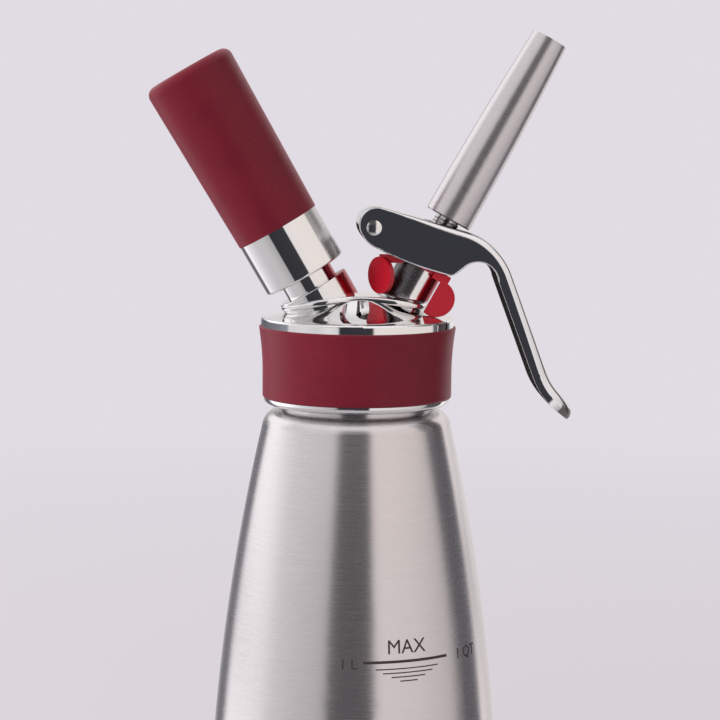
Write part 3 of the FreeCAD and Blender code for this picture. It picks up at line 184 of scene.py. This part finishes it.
LOW_RING = [
    (-180, 0.8, LEFT_TINT),
    (-165, 0.4, LEFT_TINT),
    (-155, 0.15, ROOM_TINT),
    (-142, 0.15, ROOM_TINT),
    (-132, 1.5, LEFT_TINT),
    (-100, 1.5, LEFT_TINT),
    (-75, 0.9, LEFT_TINT),
    (-28, 0.5, LEFT_TINT),
    (-25.5, 0.04, ROOM_TINT),
    (11.5, 0.05, ROOM_TINT),
    (14, 1.0, RIGHT_TINT),
    (50, 0.9, RIGHT_TINT),
    (88, 0.65, RIGHT_TINT),
    (95, 0.1, ROOM_TINT),
    (122, 0.1, ROOM_TINT),
    (129, 1.3, RIGHT_TINT),
    (145, 0.8, RIGHT_TINT),
    (180, 0.8, RIGHT_TINT),
]
HIGH_RING = [
    (-180, 0.8, LEFT_TINT),
    (-168, 0.4, LEFT_TINT),
    (-154, 1.45, LEFT_TINT),
    (-116, 1.45, LEFT_TINT),
    (-104, 0.95, LEFT_TINT),
    (-30, 0.9, LEFT_TINT),
    (-20, 0.1, LEFT_TINT),
    (11, 0.1, LEFT_TINT),
    (18, 1.05, WARM_TINT),
    (82, 1.0, WARM_TINT),
    (92, 0.2, LEFT_TINT),
    (120, 0.2, LEFT_TINT),
    (130, 1.1, RIGHT_TINT),
    (160, 1.05, RIGHT_TINT),
    (180, 0.8, LEFT_TINT),
]
RING_PEAK = 1.5
CEILING = (1.15, 1.12, 1.14, 1)
GROUND = (0.60, 0.57, 0.60, 1)
# Where one light gives way to the next, as the height of a direction's unit vector.
BAND_FOOT = (-0.125, -0.115)
BAND_TOP = (-0.075, -0.06)
HIGH_START = (0.10, 0.24)
CEILING_START = (0.60, 0.80)
GROUND_START = (-0.40, -0.62)
# The light that matt surfaces gather, stronger from the left.
FILL_COLOUR = (1, 0.98, 1, 1)
FILL_LEFT = 1.25
FILL_RIGHT = 0.55
FILL_SLOPE = 0.9


def ring_light(tree, place, ring):
    """One ring of the studio, scaled down so that its brightest light fits in a ramp."""
    stops = [((azimuth + 180) / 360, shade(tint, level / RING_PEAK)) for azimuth, level, tint in ring]
    return tree.add("ShaderNodeVectorMath", {0: tree.ramp(place, stops), 1: (RING_PEAK,) * 3},
                    operation="MULTIPLY").outputs[0]


def make_world():
    """A plain studio: a pale background, and for the metal three rings of soft light."""
    world = bpy.data.worlds.new("studio")
    bpy.context.scene.world = world
    world.use_nodes = True
    tree = Tree(world.node_tree)
    direction = tree.add("ShaderNodeTexCoord").outputs["Generated"]
    parts = tree.add("ShaderNodeSeparateXYZ", {0: direction})
    azimuth = tree.math("ARCTAN2", parts.outputs[0], tree.math("MULTIPLY", parts.outputs[1], -1.0))
    place = tree.math("MULTIPLY_ADD", azimuth, 1 / (2 * math.pi), 0.5)
    height = parts.outputs[2]
    band = tree.math("MULTIPLY", tree.step(height, *BAND_FOOT), tree.step(height, *BAND_TOP, 1.0, 0.0))
    light = tree.mix(band, ring_light(tree, place, LOW_RING), ring_light(tree, place, BAND_RING))
    light = tree.mix(tree.step(height, *HIGH_START), light, ring_light(tree, place, HIGH_RING))
    light = tree.mix(tree.step(height, *CEILING_START), light, CEILING)
    light = tree.mix(tree.step(height, *GROUND_START), light, GROUND)
    rings = tree.add("ShaderNodeBackground", {"Color": light, "Strength": 1.0})
    fill = tree.step(parts.outputs[0], -FILL_SLOPE, FILL_SLOPE, FILL_LEFT, FILL_RIGHT)
    plain = tree.add("ShaderNodeBackground", {"Color": FILL_COLOUR, "Strength": fill})
    pale = tree.add("ShaderNodeBackground", {"Color": (*BACKGROUND, 1), "Strength": 1.0})
    rays = tree.add("ShaderNodeLightPath")
    lit = tree.add("ShaderNodeMixShader", {0: rays.outputs["Is Diffuse Ray"], 1: rings, 2: plain})
    mixed = tree.add("ShaderNodeMixShader", {0: rays.outputs["Is Camera Ray"], 1: lit, 2: pale})
    tree.add("ShaderNodeOutputWorld", {"Surface": mixed})


# --- materials --------------------------------------------------------------------

def new_material(name):
    material = bpy.data.materials.new(name)
    material.use_nodes = True
    tree = Tree(material.node_tree)
    shader = tree.add("ShaderNodeBsdfPrincipled")
    tree.add("ShaderNodeOutputMaterial", {"Surface": shader})
    return material, tree, shader


def turned_coordinates(tree, foot, tilt):
    """Object coordinates with the origin at a foot and Z along an axis that leans to +X by tilt."""
    place = tree.add("ShaderNodeTexCoord").outputs["Object"]
    shifted = tree.add("ShaderNodeVectorMath", {0: place, 1: foot}, operation="SUBTRACT")
    inputs = {"Vector": shifted, "Angle": -math.radians(tilt)}
    return tree.add("ShaderNodeVectorRotate", inputs, rotation_type="Y_AXIS").outputs[0]


# The brush's streaks: how often they change round the axis, fine and broad, how much longer
# than the fine ones the broad ones are along it, and their share of the whole.
FINE_STREAKS = 140.0
BROAD_STREAKS = 22.0
BROAD_STRETCH = 12
BROAD_SHARE = 0.2
STREAK_DEPTH = 0.0001


def brushed_metal(name, colour, roughness, anisotropy, foot=ORIGIN, tilt=0.0, grain=9000.0, depth=0.02,
                  haze=0.0):
    """Steel brushed round an axis, so that reflections smear along it, with a little haze."""
    material, tree, shader = new_material(name)
    place = turned_coordinates(tree, foot, tilt)

    def streaks(around, along):
        stretch = (around, around, along)
        scaled = tree.add("ShaderNodeVectorMath", {0: place, 1: stretch}, operation="MULTIPLY")
        return tree.noise(scaled, 1.0)

    fine = streaks(FINE_STREAKS, grain)
    broad = streaks(BROAD_STREAKS, grain / BROAD_STRETCH)
    fine_part = tree.math("MULTIPLY", fine, 1 - BROAD_SHARE)
    both = tree.math("MULTIPLY_ADD", broad, BROAD_SHARE, fine_part)
    tint = tree.ramp(both, [(0.35, shade(colour, 0.95)), (0.65, shade(colour, 1.04))])
    lean = math.radians(tilt)
    along = tree.add("ShaderNodeCombineXYZ", {0: math.sin(lean), 1: 0.0, 2: math.cos(lean)})
    bump = tree.bump(fine, depth, STREAK_DEPTH)
    tree.feed(shader.inputs["Base Color"], tint)
    tree.feed(shader.inputs["Roughness"], tree.step(both, 0.35, 0.65, roughness * 0.88, roughness * 1.12))
    tree.feed(shader.inputs["Normal"], bump)
    tree.feed(shader.inputs["Tangent"], along)
    shader.inputs["Metallic"].default_value = 1.0 - haze
    shader.inputs["Anisotropic"].default_value = anisotropy
    return material


# Polished steel has a slight swell and, much finer, uneven wear.
SWELL_DEPTH = 0.0006
SWELL_SCALE = 160.0
WEAR_SCALE = 2200.0


def uneven_polish(tree, wear, roughness):
    """A roughness that wanders a little with the wear."""
    return tree.step(wear, 0.35, 0.7, roughness * 0.7, roughness * 1.4)


def polished_metal(name, colour, roughness):
    """Polished steel: nearly a mirror, with the slight swell that polishing leaves."""
    material, tree, shader = new_material(name)
    place = tree.add("ShaderNodeTexCoord").outputs["Object"]
    swell = tree.noise(place, SWELL_SCALE, 2.0)
    wear = tree.noise(place, WEAR_SCALE, 4.0)
    tint = tree.ramp(wear, [(0.3, shade(colour, 0.97)), (0.65, colour)])
    tree.feed(shader.inputs["Base Color"], tint)
    tree.feed(shader.inputs["Roughness"], uneven_polish(tree, wear, roughness))
    tree.feed(shader.inputs["Normal"], tree.bump(swell, 0.008, SWELL_DEPTH))
    shader.inputs["Metallic"].default_value = 1.0
    return material


# How far from their axes the tower and the boss reach, and how softly that ends.
TOWER_REACH = 0.0120
BOSS_REACH = 0.0150
REACH_BLEND = 0.002
# The drum that the bridge's arched top is part of.
ARCH_CENTRE = Vector((0, 0, 0.145))
ARCH_RADIUS = 0.096
ARCH_BLEND = (0.0003, 0.0012)
# Azimuths round the two axes, from the front towards +X: where the tower is left as cast,
# and where a painted reflection of the red clip lies, in the tower and in the boss.
CAST_SIDE = (-130.0, 4.0)
TOWER_CLIP_REFLECTION = (26.0, 80.0)
BOSS_CLIP_REFLECTION = (44.0, 100.0)
SIDE_BLEND = 5.0
CAST_COLOUR = (0.125, 0.118, 0.125)
CAST_GRAIN = 1900.0
CAST_RELIEF = 0.45
CAST_ROUGHNESS = 0.32
# The painted reflection of the red clip: its colour, and the roughness it adds.
CLIP_REFLECTION_COLOUR = (0.34, 0.018, 0.032)
CLIP_REFLECTION_ROUGHNESS = 0.22


def axis_masks(tree, foot, tilt, reach):
    """Whether a point is near a tilted axis, and its azimuth round it."""
    place = tree.add("ShaderNodeSeparateXYZ", {0: turned_coordinates(tree, foot, tilt)})
    flat = tree.add("ShaderNodeCombineXYZ", {0: place.outputs[0], 1: place.outputs[1], 2: 0.0})
    away = tree.add("ShaderNodeVectorMath", {0: flat}, operation="LENGTH").outputs["Value"]
    near = tree.step(away, reach, reach + REACH_BLEND, 1.0, 0.0)
    azimuth = tree.math("ARCTAN2", place.outputs[0], tree.math("MULTIPLY", place.outputs[1], -1.0))
    return near, azimuth


def above_arch(tree, place):
    """Whether a point stands clear of the bridge's arched top."""
    flat = tree.add("ShaderNodeVectorMath", {0: place, 1: (1, 0, 1)}, operation="MULTIPLY")
    away = tree.add("ShaderNodeVectorMath", {0: flat, 1: ARCH_CENTRE}, operation="DISTANCE").outputs["Value"]
    start, end = (ARCH_RADIUS + blend for blend in ARCH_BLEND)
    return tree.step(away, start, end)


def sector(tree, azimuth, limits):
    """One between two azimuths, fading out past each."""
    low, high = (math.radians(limit) for limit in limits)
    blend = math.radians(SIDE_BLEND)
    rising = tree.step(azimuth, low - blend, low)
    falling = tree.step(azimuth, high, high + blend, 1.0, 0.0)
    return tree.math("MULTIPLY", rising, falling)


def head_metal(name, colour, roughness):
    """The polished casting: its valve tower keeps the mould's grain on the front and left, and a painted
    reflection of the red clip lies on the tower and the boss.
    """
    material, tree, shader = new_material(name)
    place = tree.add("ShaderNodeTexCoord").outputs["Object"]
    above = above_arch(tree, place)
    near, azimuth = axis_masks(tree, VALVE_FOOT, VALVE_TILT, TOWER_REACH)
    tower = tree.math("MULTIPLY", near, above)
    cast = tree.math("MULTIPLY", tower, sector(tree, azimuth, CAST_SIDE))
    tower_clip_reflection = tree.math("MULTIPLY", tower, sector(tree, azimuth, TOWER_CLIP_REFLECTION))
    boss_near, boss_azimuth = axis_masks(tree, HOLDER_FOOT, HOLDER_TILT, BOSS_REACH)
    boss = tree.math("MULTIPLY", boss_near, above)
    boss_clip_reflection = tree.math("MULTIPLY", boss, sector(tree, boss_azimuth, BOSS_CLIP_REFLECTION))
    # The painted reflection of the red clip, on the tower and on the boss.
    clip_reflection = tree.math("MAXIMUM", tower_clip_reflection, boss_clip_reflection)
    grain = tree.noise(place, CAST_GRAIN, 5.0)
    swell = tree.noise(place, 150.0, 2.0)
    relief = tree.math("MULTIPLY", cast, tree.math("MULTIPLY", grain, CAST_RELIEF))
    height = tree.math("MULTIPLY_ADD", swell, 0.02, relief)
    rough_with_clip_reflection = tree.math("MULTIPLY_ADD", clip_reflection, CLIP_REFLECTION_ROUGHNESS, uneven_polish(tree, grain, roughness))
    rough = tree.math("MULTIPLY_ADD", cast, CAST_ROUGHNESS, rough_with_clip_reflection)
    bright = tree.ramp(grain, [(0.3, shade(colour, 0.95)), (0.65, colour)])
    dark = tree.ramp(grain, [(0.35, shade(CAST_COLOUR, 0.7)), (0.66, shade(CAST_COLOUR, 1.5))])
    # The painted reflection of the red clip, mixed into the polished colour.
    tint_with_clip_reflection = tree.mix(clip_reflection, bright.outputs[0], (*CLIP_REFLECTION_COLOUR, 1))
    tree.feed(shader.inputs["Base Color"], tree.mix(cast, tint_with_clip_reflection, dark.outputs[0]))
    tree.feed(shader.inputs["Roughness"], rough)
    tree.feed(shader.inputs["Normal"], tree.bump(height, 0.5, SWELL_DEPTH))
    shader.inputs["Metallic"].default_value = 1.0
    return material


# The vent's floor, and the side of the ring towards the valve: both are satin, and painted shade darkens
# them.
VENT_FLOOR = 0.0158
VENT_EDGE = 0.0001
VENT_SIDE = (48.0, 118.0)
VENT_PAINTED_SHADE = 0.70
VENT_ROUGHNESS = 0.28


def holder_metal(name, colour, roughness):
    """The polished holder, satin in its milled vent and on the side to the valve, where painted shade
    darkens it.
    """
    material, tree, shader = new_material(name)
    place = tree.add("ShaderNodeTexCoord").outputs["Object"]
    turned = turned_coordinates(tree, HOLDER_FOOT, HOLDER_TILT)
    flat = tree.add("ShaderNodeVectorMath", {0: turned, 1: (1, 1, 0)}, operation="MULTIPLY")
    away = tree.add("ShaderNodeVectorMath", {0: flat}, operation="LENGTH").outputs["Value"]
    azimuth = axis_masks(tree, HOLDER_FOOT, HOLDER_TILT, VENT_FLOOR)[1]
    vent = tree.step(away, VENT_FLOOR, VENT_FLOOR + VENT_EDGE, 1.0, 0.0)
    satin_and_painted_shade = tree.math("MAXIMUM", vent, sector(tree, azimuth, VENT_SIDE))
    polish = uneven_polish(tree, tree.noise(place, WEAR_SCALE, 4.0), roughness)
    swell = tree.noise(place, SWELL_SCALE, 2.0)
    # Painted shade darkens the vent and the side to the valve.
    tree.feed(shader.inputs["Base Color"], tree.mix(satin_and_painted_shade, (*colour, 1), (*shade(colour, VENT_PAINTED_SHADE), 1)))
    tree.feed(shader.inputs["Roughness"], tree.math("MULTIPLY_ADD", satin_and_painted_shade, VENT_ROUGHNESS, polish))
    tree.feed(shader.inputs["Normal"], tree.bump(swell, 0.008, SWELL_DEPTH))
    shader.inputs["Metallic"].default_value = 1.0
    return material


# The channel inside the lever: its half width and soft edge, the painted shade that darkens its inside, and
# its roughness.
CHANNEL_HALF_WIDTH = 0.01056
CHANNEL_EDGE = 0.00005
CHANNEL_PAINTED_SHADE = (0.20, 0.175, 0.17)
CHANNEL_ROUGHNESS = 0.33
# A painted reflection of the room's dark side, darkening the front half of the lever's top, up to the split
# in Y.
TOP_PAINTED_REFLECTION = (0.105, 0.088, 0.085)
TOP_SPLIT = 0.0005
TOP_BLEND = 0.002


def lever_metal(name, colour, roughness):
    """The polished lever, with a painted reflection of the room's dark side along the front of its top, and
    satin with painted shade inside its channel.
    """
    material, tree, shader = new_material(name)
    place = tree.add("ShaderNodeTexCoord").outputs["Object"]
    across = tree.add("ShaderNodeSeparateXYZ", {0: place}).outputs[1]
    normal = tree.add("ShaderNodeSeparateXYZ", {0: tree.add("ShaderNodeNewGeometry").outputs["True Normal"]})
    side = tree.math("ABSOLUTE", across)
    within = tree.step(side, CHANNEL_HALF_WIDTH, CHANNEL_HALF_WIDTH + CHANNEL_EDGE, 1.0, 0.0)
    facing_down = tree.step(normal.outputs[2], 0.15, -0.05)
    channel = tree.math("MULTIPLY", within, facing_down)
    facing_up = tree.step(normal.outputs[2], 0.60, 0.85)
    front = tree.step(across, TOP_SPLIT - TOP_BLEND, TOP_SPLIT + TOP_BLEND, 1.0, 0.0)
    # Painted reflection of the room's dark side on the front of the top.
    outside_with_painted_reflection = tree.mix(tree.math("MULTIPLY", facing_up, front), (*colour, 1), (*TOP_PAINTED_REFLECTION, 1))
    swell = tree.noise(place, 120.0, 2.0)
    polish = uneven_polish(tree, tree.noise(place, WEAR_SCALE, 4.0), roughness)
    # Painted shade inside the channel.
    tree.feed(shader.inputs["Base Color"], tree.mix(channel, outside_with_painted_reflection, (*CHANNEL_PAINTED_SHADE, 1)))
    tree.feed(shader.inputs["Roughness"], tree.math("MULTIPLY_ADD", channel, CHANNEL_ROUGHNESS, polish))
    tree.feed(shader.inputs["Normal"], tree.bump(swell, 0.006, SWELL_DEPTH))
    shader.inputs["Metallic"].default_value = 1.0
    return material


GRAIN_DEPTH = 0.0003
SPECK_SCALE = 420.0
SPECK_COLOUR = (0.55, 0.30, 0.34)
SHEEN_TINT = (0.85, 0.26, 0.34)
SHEEN_ROUGHNESS = 0.35


def moulded(name, colour, roughness, grain=0.05, grain_scale=2600.0, specks=0.0, gloss=0.5, coat=0.0,
            sheen=0.0):
    """Moulded silicone, rubber or plastic: fine grain, uneven gloss and the odd pale speck."""
    material, tree, shader = new_material(name)
    place = tree.add("ShaderNodeTexCoord").outputs["Object"]
    cloud = tree.noise(place, 70.0)
    tint = tree.ramp(cloud, [(0.3, shade(colour, 0.92)), (0.7, shade(colour, 1.08))]).outputs[0]
    if specks:
        dots = tree.add("ShaderNodeTexVoronoi", {"Vector": place, "Scale": SPECK_SCALE}).outputs["Distance"]
        tint = tree.mix(tree.step(dots, 0.03, 0.09, specks, 0.0), tint, (*SPECK_COLOUR, 1))
    bump = tree.bump(tree.noise(place, grain_scale), grain, GRAIN_DEPTH)
    tree.feed(shader.inputs["Base Color"], tint)
    tree.feed(shader.inputs["Roughness"], tree.step(cloud, 0.3, 0.7, roughness * 0.92, roughness * 1.08))
    tree.feed(shader.inputs["Normal"], bump)
    shader.inputs["Specular IOR Level"].default_value = gloss
    shader.inputs["Coat Weight"].default_value = coat
    shader.inputs["Sheen Weight"].default_value = sheen
    shader.inputs["Sheen Roughness"].default_value = SHEEN_ROUGHNESS
    shader.inputs["Sheen Tint"].default_value = (*SHEEN_TINT, 1)
    return material


STEEL = (0.63, 0.595, 0.60)
POLISHED = (0.76, 0.75, 0.75)
WINE = (0.150, 0.0060, 0.0170)
MATERIALS = {
    "bottle_steel": brushed_metal("bottle_steel", STEEL, 0.25, 0.75, depth=0.012, haze=0.065),
    "tip_steel": brushed_metal("tip_steel", (0.58, 0.55, 0.56), 0.30, 0.6, VALVE_FOOT, VALVE_TILT,
                               grain=7000.0, depth=0.03, haze=0.07),
    "charger_steel": brushed_metal("charger_steel", (0.66, 0.66, 0.66), 0.3, 0.4, HOLDER_FOOT, HOLDER_TILT),
    "holder_steel": holder_metal("holder_steel", POLISHED, 0.035),
    "head_steel": head_metal("head_steel", POLISHED, 0.035),
    "lever_steel": lever_metal("lever_steel", (0.74, 0.74, 0.76), 0.04),
    "cap_steel": polished_metal("cap_steel", POLISHED, 0.035),
    "pin_steel": polished_metal("pin_steel", POLISHED, 0.10),
    "piston_steel": polished_metal("piston_steel", (0.42, 0.41, 0.41), 0.12),
    "spring_steel": polished_metal("spring_steel", (0.6, 0.6, 0.6), 0.2),
    "brass": polished_metal("brass", (0.72, 0.50, 0.20), 0.2),
    "wine_silicone": moulded("wine_silicone", WINE, 0.42, grain=0.06, specks=0.20, gloss=0.22, sheen=0.30),
    "red_plastic": moulded("red_plastic", (0.43, 0.008, 0.020), 0.34, grain=0.02, grain_scale=1500.0,
                           gloss=0.4, coat=0.1),
    "black_rubber": moulded("black_rubber", (0.02, 0.02, 0.02), 0.6),
    "grey_silicone": moulded("grey_silicone", (0.30, 0.30, 0.31), 0.5),
    "bush_plastic": moulded("bush_plastic", (0.75, 0.75, 0.72), 0.4),
    "etched_mark": moulded("etched_mark", (0.055, 0.038, 0.040), 0.6, grain=0.03, grain_scale=5000.0,
                           gloss=0.1),
}

FINISHES = {
    "bottle": "bottle_steel", "head_cap": "cap_steel", "grip_band": "wine_silicone",
    "head_gasket": "grey_silicone", "head_bridge": "head_steel", "lever": "lever_steel",
    "lever_pin": "pin_steel", "valve_clip": "red_plastic", "valve_piston": "piston_steel",
    "piston_spring": "spring_steel", "upper_piston_ring": "black_rubber",
    "lower_piston_ring": "black_rubber", "valve_seal": "black_rubber", "seal_retainer": "brass",
    "valve_bush": "bush_plastic", "decorating_tip": "tip_steel", "charger_holder": "holder_steel",
    "holder_sleeve": "wine_silicone", "gas_charger": "charger_steel", "piercing_pin": "spring_steel",
    "charger_seal": "black_rubber", "pin_holder": "brass", "check_valve": "black_rubber",
}


def dress_cad_nodes():
    """Give every CAD node its finish."""
    for node, finish in FINISHES.items():
        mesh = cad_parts[node].data
        mesh.materials.clear()
        mesh.materials.append(MATERIALS[finish])


# --- fill mark on the bottle -------------------------------------------------------

MARK_AZIMUTH = 20.1
MARK_HEIGHT = 0.1106
MARK_LIFT = 0.00007
MARK_THICKNESS = 0.0001
# Each level line: how far below the first, its thickness, and how far round it reaches.
LEVEL_LINES = [
    (0.0, 0.00100, 38.9),
    (0.0026, 0.00042, 28.6),
    (0.0041, 0.00042, 22.6),
    (0.0056, 0.00042, 15.2),
    (0.0071, 0.00042, 7.8),
]
# Degrees between the points of a level line.
LINE_STEP = 1.0
# Each word: azimuth of its middle, height of its foot above the first line, letter height.
WORDS = [
    ("MAX", 19.6, 0.0029, 0.0053),
    ("1 L", -5.6, -0.0023, 0.0038),
    ("1 QT", 52.3, -0.0023, 0.0042),
]
# A capital's height as a share of the font size.
LETTER_SHARE = 0.73
WELD_DISTANCE = 1e-6
# How far out the rays begin that find the bottle's wall.
RAY_START = 0.2


def wrap_on_bottle(surface, azimuth, height):
    """The point on the bottle's wall at an azimuth and a height, lifted clear of it."""
    turn = math.radians(azimuth)
    outward = Vector((math.sin(turn), -math.cos(turn), 0))
    hit = surface.ray_cast(outward * RAY_START + Vector((0, 0, height)), -outward)[0]
    return hit + outward * MARK_LIFT


def add_level_line(mark, surface, height, thickness, reach):
    steps = max(2, round(reach / LINE_STEP))
    rows = []
    for level in (height - thickness / 2, height + thickness / 2):
        azimuths = [MARK_AZIMUTH + reach * (i / steps - 0.5) for i in range(steps + 1)]
        rows.append([mark.verts.new(wrap_on_bottle(surface, azimuth, level)) for azimuth in azimuths])
    for i in range(steps):
        mark.faces.new((rows[0][i], rows[0][i + 1], rows[1][i + 1], rows[1][i]))


def add_word(mark, surface, text, azimuth, foot, height):
    """A word in plain letters, wrapped round the bottle's wall."""
    curve = bpy.data.curves.new("word", "FONT")
    curve.body = text
    curve.size = height / LETTER_SHARE
    curve.align_x = "CENTER"
    curve.resolution_u = 4
    letters = bpy.data.objects.new("word", curve)
    flat = bpy.data.meshes.new_from_object(letters)
    radius = (wrap_on_bottle(surface, azimuth, MARK_HEIGHT).xy).length
    for vertex in flat.vertices:
        across, up = vertex.co.x, vertex.co.y
        vertex.co = wrap_on_bottle(surface, azimuth + math.degrees(across / radius), MARK_HEIGHT + foot + up)
    mark.from_mesh(flat)
    bpy.data.objects.remove(letters)
    bpy.data.meshes.remove(flat)


def make_fill_mark():
    """The level lines and plain words etched on the bottle."""
    surface = BVHTree.FromObject(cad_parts["bottle"], bpy.context.evaluated_depsgraph_get())
    mark = bmesh.new()
    for below, thickness, reach in LEVEL_LINES:
        add_level_line(mark, surface, MARK_HEIGHT - below, thickness, reach)
    for text, azimuth, foot, height in WORDS:
        add_word(mark, surface, text, azimuth, foot, height)
    bmesh.ops.remove_doubles(mark, verts=mark.verts, dist=WELD_DISTANCE)
    bmesh.ops.recalc_face_normals(mark, faces=mark.faces)
    piece = finish_piece("fill_mark", mark, "etched_mark")
    solid = piece.modifiers.new("thickness", "SOLIDIFY")
    solid.thickness = MARK_THICKNESS
    solid.offset = -1
    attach(piece, BOTTLE_BODY)


# --- threads and spring -------------------------------------------------------------

def axis_matrix(foot, tilt):
    """Places a shape made along +Z on an axis that leans to +X by tilt."""
    return Matrix.Translation(foot) @ Matrix.Rotation(math.radians(tilt), 4, "Y")


def finish_piece(name, shape, material):
    """Turn a bmesh into an object with one material."""
    mesh = bpy.data.meshes.new(name)
    shape.to_mesh(mesh)
    shape.free()
    mesh.materials.append(MATERIALS[material])
    piece = bpy.data.objects.new(name, mesh)
    bpy.context.scene.collection.objects.link(piece)
    return piece


# How much of a helix's profile is left at its very ends.
THIN_END = 0.05


def helix_sweep(profile, low, high, turns, steps_per_turn, taper):
    """A closed profile of (radius, height) points carried up a helix.

    Its ends thin out over taper, in turns, or stay whole where taper is 0.
    """
    shape = bmesh.new()
    steps = round(turns * steps_per_turn)
    inner = min(radius for radius, height in profile)
    rings = []
    for i in range(steps + 1):
        turn = 2 * math.pi * i / steps_per_turn
        rise = low + (high - low) * i / steps
        run = min(i, steps - i) / steps_per_turn
        scale = min(1.0, run / taper) if taper else 1.0
        ring = []
        for radius, height in profile:
            reach = inner + (radius - inner) * max(scale, THIN_END)
            ring.append(shape.verts.new((reach * math.cos(turn), reach * math.sin(turn), rise + height)))
        rings.append(ring)
    for first, second in zip(rings, rings[1:]):
        for j in range(len(profile)):
            k = (j + 1) % len(profile)
            shape.faces.new((first[j], first[k], second[k], second[j]))
    shape.faces.new(rings[0])
    shape.faces.new(reversed(rings[-1]))
    bmesh.ops.recalc_face_normals(shape, faces=shape.faces)
    return shape


THREAD_RADIUS = 0.0047
THREAD_CREST = 0.00038
THREAD_ROOT = 0.0003
THREAD_PITCH = 0.00125
THREAD_HALF = 0.42 * THREAD_PITCH
THREAD_FLAT = 0.2 * THREAD_HALF
THREAD_STEPS = 40
THREAD_TAPER = 0.25
THREAD_LOW = 0.0243
THREAD_HIGH = 0.0283


def make_piston_thread():
    """The thread that shows between the lever and the tip."""
    root = THREAD_RADIUS - THREAD_ROOT
    crest = THREAD_RADIUS + THREAD_CREST
    profile = [(root, -THREAD_HALF), (crest, -THREAD_FLAT), (crest, THREAD_FLAT), (root, THREAD_HALF)]
    turns = (THREAD_HIGH - THREAD_LOW) / THREAD_PITCH
    shape = helix_sweep(profile, THREAD_LOW, THREAD_HIGH, turns, THREAD_STEPS, THREAD_TAPER)
    shape.transform(axis_matrix(VALVE_FOOT, VALVE_TILT))
    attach(finish_piece("piston_thread", shape, "piston_steel"), PISTON_BODY)


SPRING_RADIUS = 0.0060
WIRE_RADIUS = 0.0005
WIRE_SIDES = 12
SPRING_LOW = 0.0066
SPRING_HIGH = 0.0196
SPRING_TURNS = 4.5
SPRING_STEPS = 48


def make_piston_spring():
    """The valve's coil, fixed to the head in place of the CAD spring."""
    profile = []
    for i in range(WIRE_SIDES):
        angle = 2 * math.pi * i / WIRE_SIDES
        profile.append((SPRING_RADIUS + WIRE_RADIUS * math.cos(angle), WIRE_RADIUS * math.sin(angle)))
    shape = helix_sweep(profile, SPRING_LOW, SPRING_HIGH, SPRING_TURNS, SPRING_STEPS, 0.0)
    shape.transform(axis_matrix(VALVE_FOOT, VALVE_TILT))
    spring = finish_piece("piston_spring_coil", shape, "spring_steel")
    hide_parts("piston_spring")
    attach(spring, HEAD_BODY)
    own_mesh(spring)


# --- floor and lights -------------------------------------------------------------

FLOOR_RADIUS = 3.0
FLOOR_DROP = 0.0002
# How far from the object's foot the floor begins and ends its fade.
FLOOR_FADE = (0.20, 1.3)
KEY_SPOT = (-1.5, -0.55, 0.9)
KEY_AIM = Vector((0, 0, 0.2))
KEY_SIZE = (0.7, 0.9)
KEY_POWER = 14.0


def make_floor():
    """A plain pale floor that fades into the background away from the object."""
    bpy.ops.mesh.primitive_circle_add(
        vertices=128, radius=FLOOR_RADIUS, fill_type="NGON", location=(0, 0, -FLOOR_DROP))
    floor = bpy.context.object
    floor.name = "floor"
    material, tree, shader = new_material("floor_paper")
    place = tree.add("ShaderNodeTexCoord").outputs["Object"]
    distance = tree.add("ShaderNodeVectorMath", {0: place}, operation="LENGTH").outputs["Value"]
    seen = tree.add("ShaderNodeLightPath").outputs["Is Camera Ray"]
    share = tree.math("MULTIPLY", tree.step(distance, *FLOOR_FADE), seen)
    pale = tree.add("ShaderNodeEmission", {"Color": (*BACKGROUND, 1), "Strength": 1.0})
    shader.inputs["Base Color"].default_value = (*FLOOR_COLOUR, 1)
    shader.inputs["Roughness"].default_value = 0.8
    mixed = tree.add("ShaderNodeMixShader", {0: share, 1: shader, 2: pale})
    output = next(node for node in tree.tree.nodes if node.type == "OUTPUT_MATERIAL")
    tree.feed(output.inputs["Surface"], mixed)
    floor.data.materials.append(material)
    floor.visible_glossy = False


def make_lamp(name, spot, aim, size, power):
    """A soft rectangular lamp, which metal doesn't mirror."""
    data = bpy.data.lights.new(name, "AREA")
    data.shape = "RECTANGLE"
    data.size, data.size_y = size
    data.energy = power
    lamp = bpy.data.objects.new(name, data)
    bpy.context.scene.collection.objects.link(lamp)
    lamp.location = spot
    lamp.rotation_euler = (aim - Vector(spot)).to_track_quat("-Z", "Y").to_euler()
    lamp.visible_glossy = False
    lamp.visible_camera = False


make_camera()
make_world()
dress_cad_nodes()
make_fill_mark()
make_piston_thread()
make_piston_spring()
make_floor()
make_lamp("key", KEY_SPOT, KEY_AIM, KEY_SIZE, KEY_POWER)

bpy.context.scene.view_settings.view_transform = "Standard"
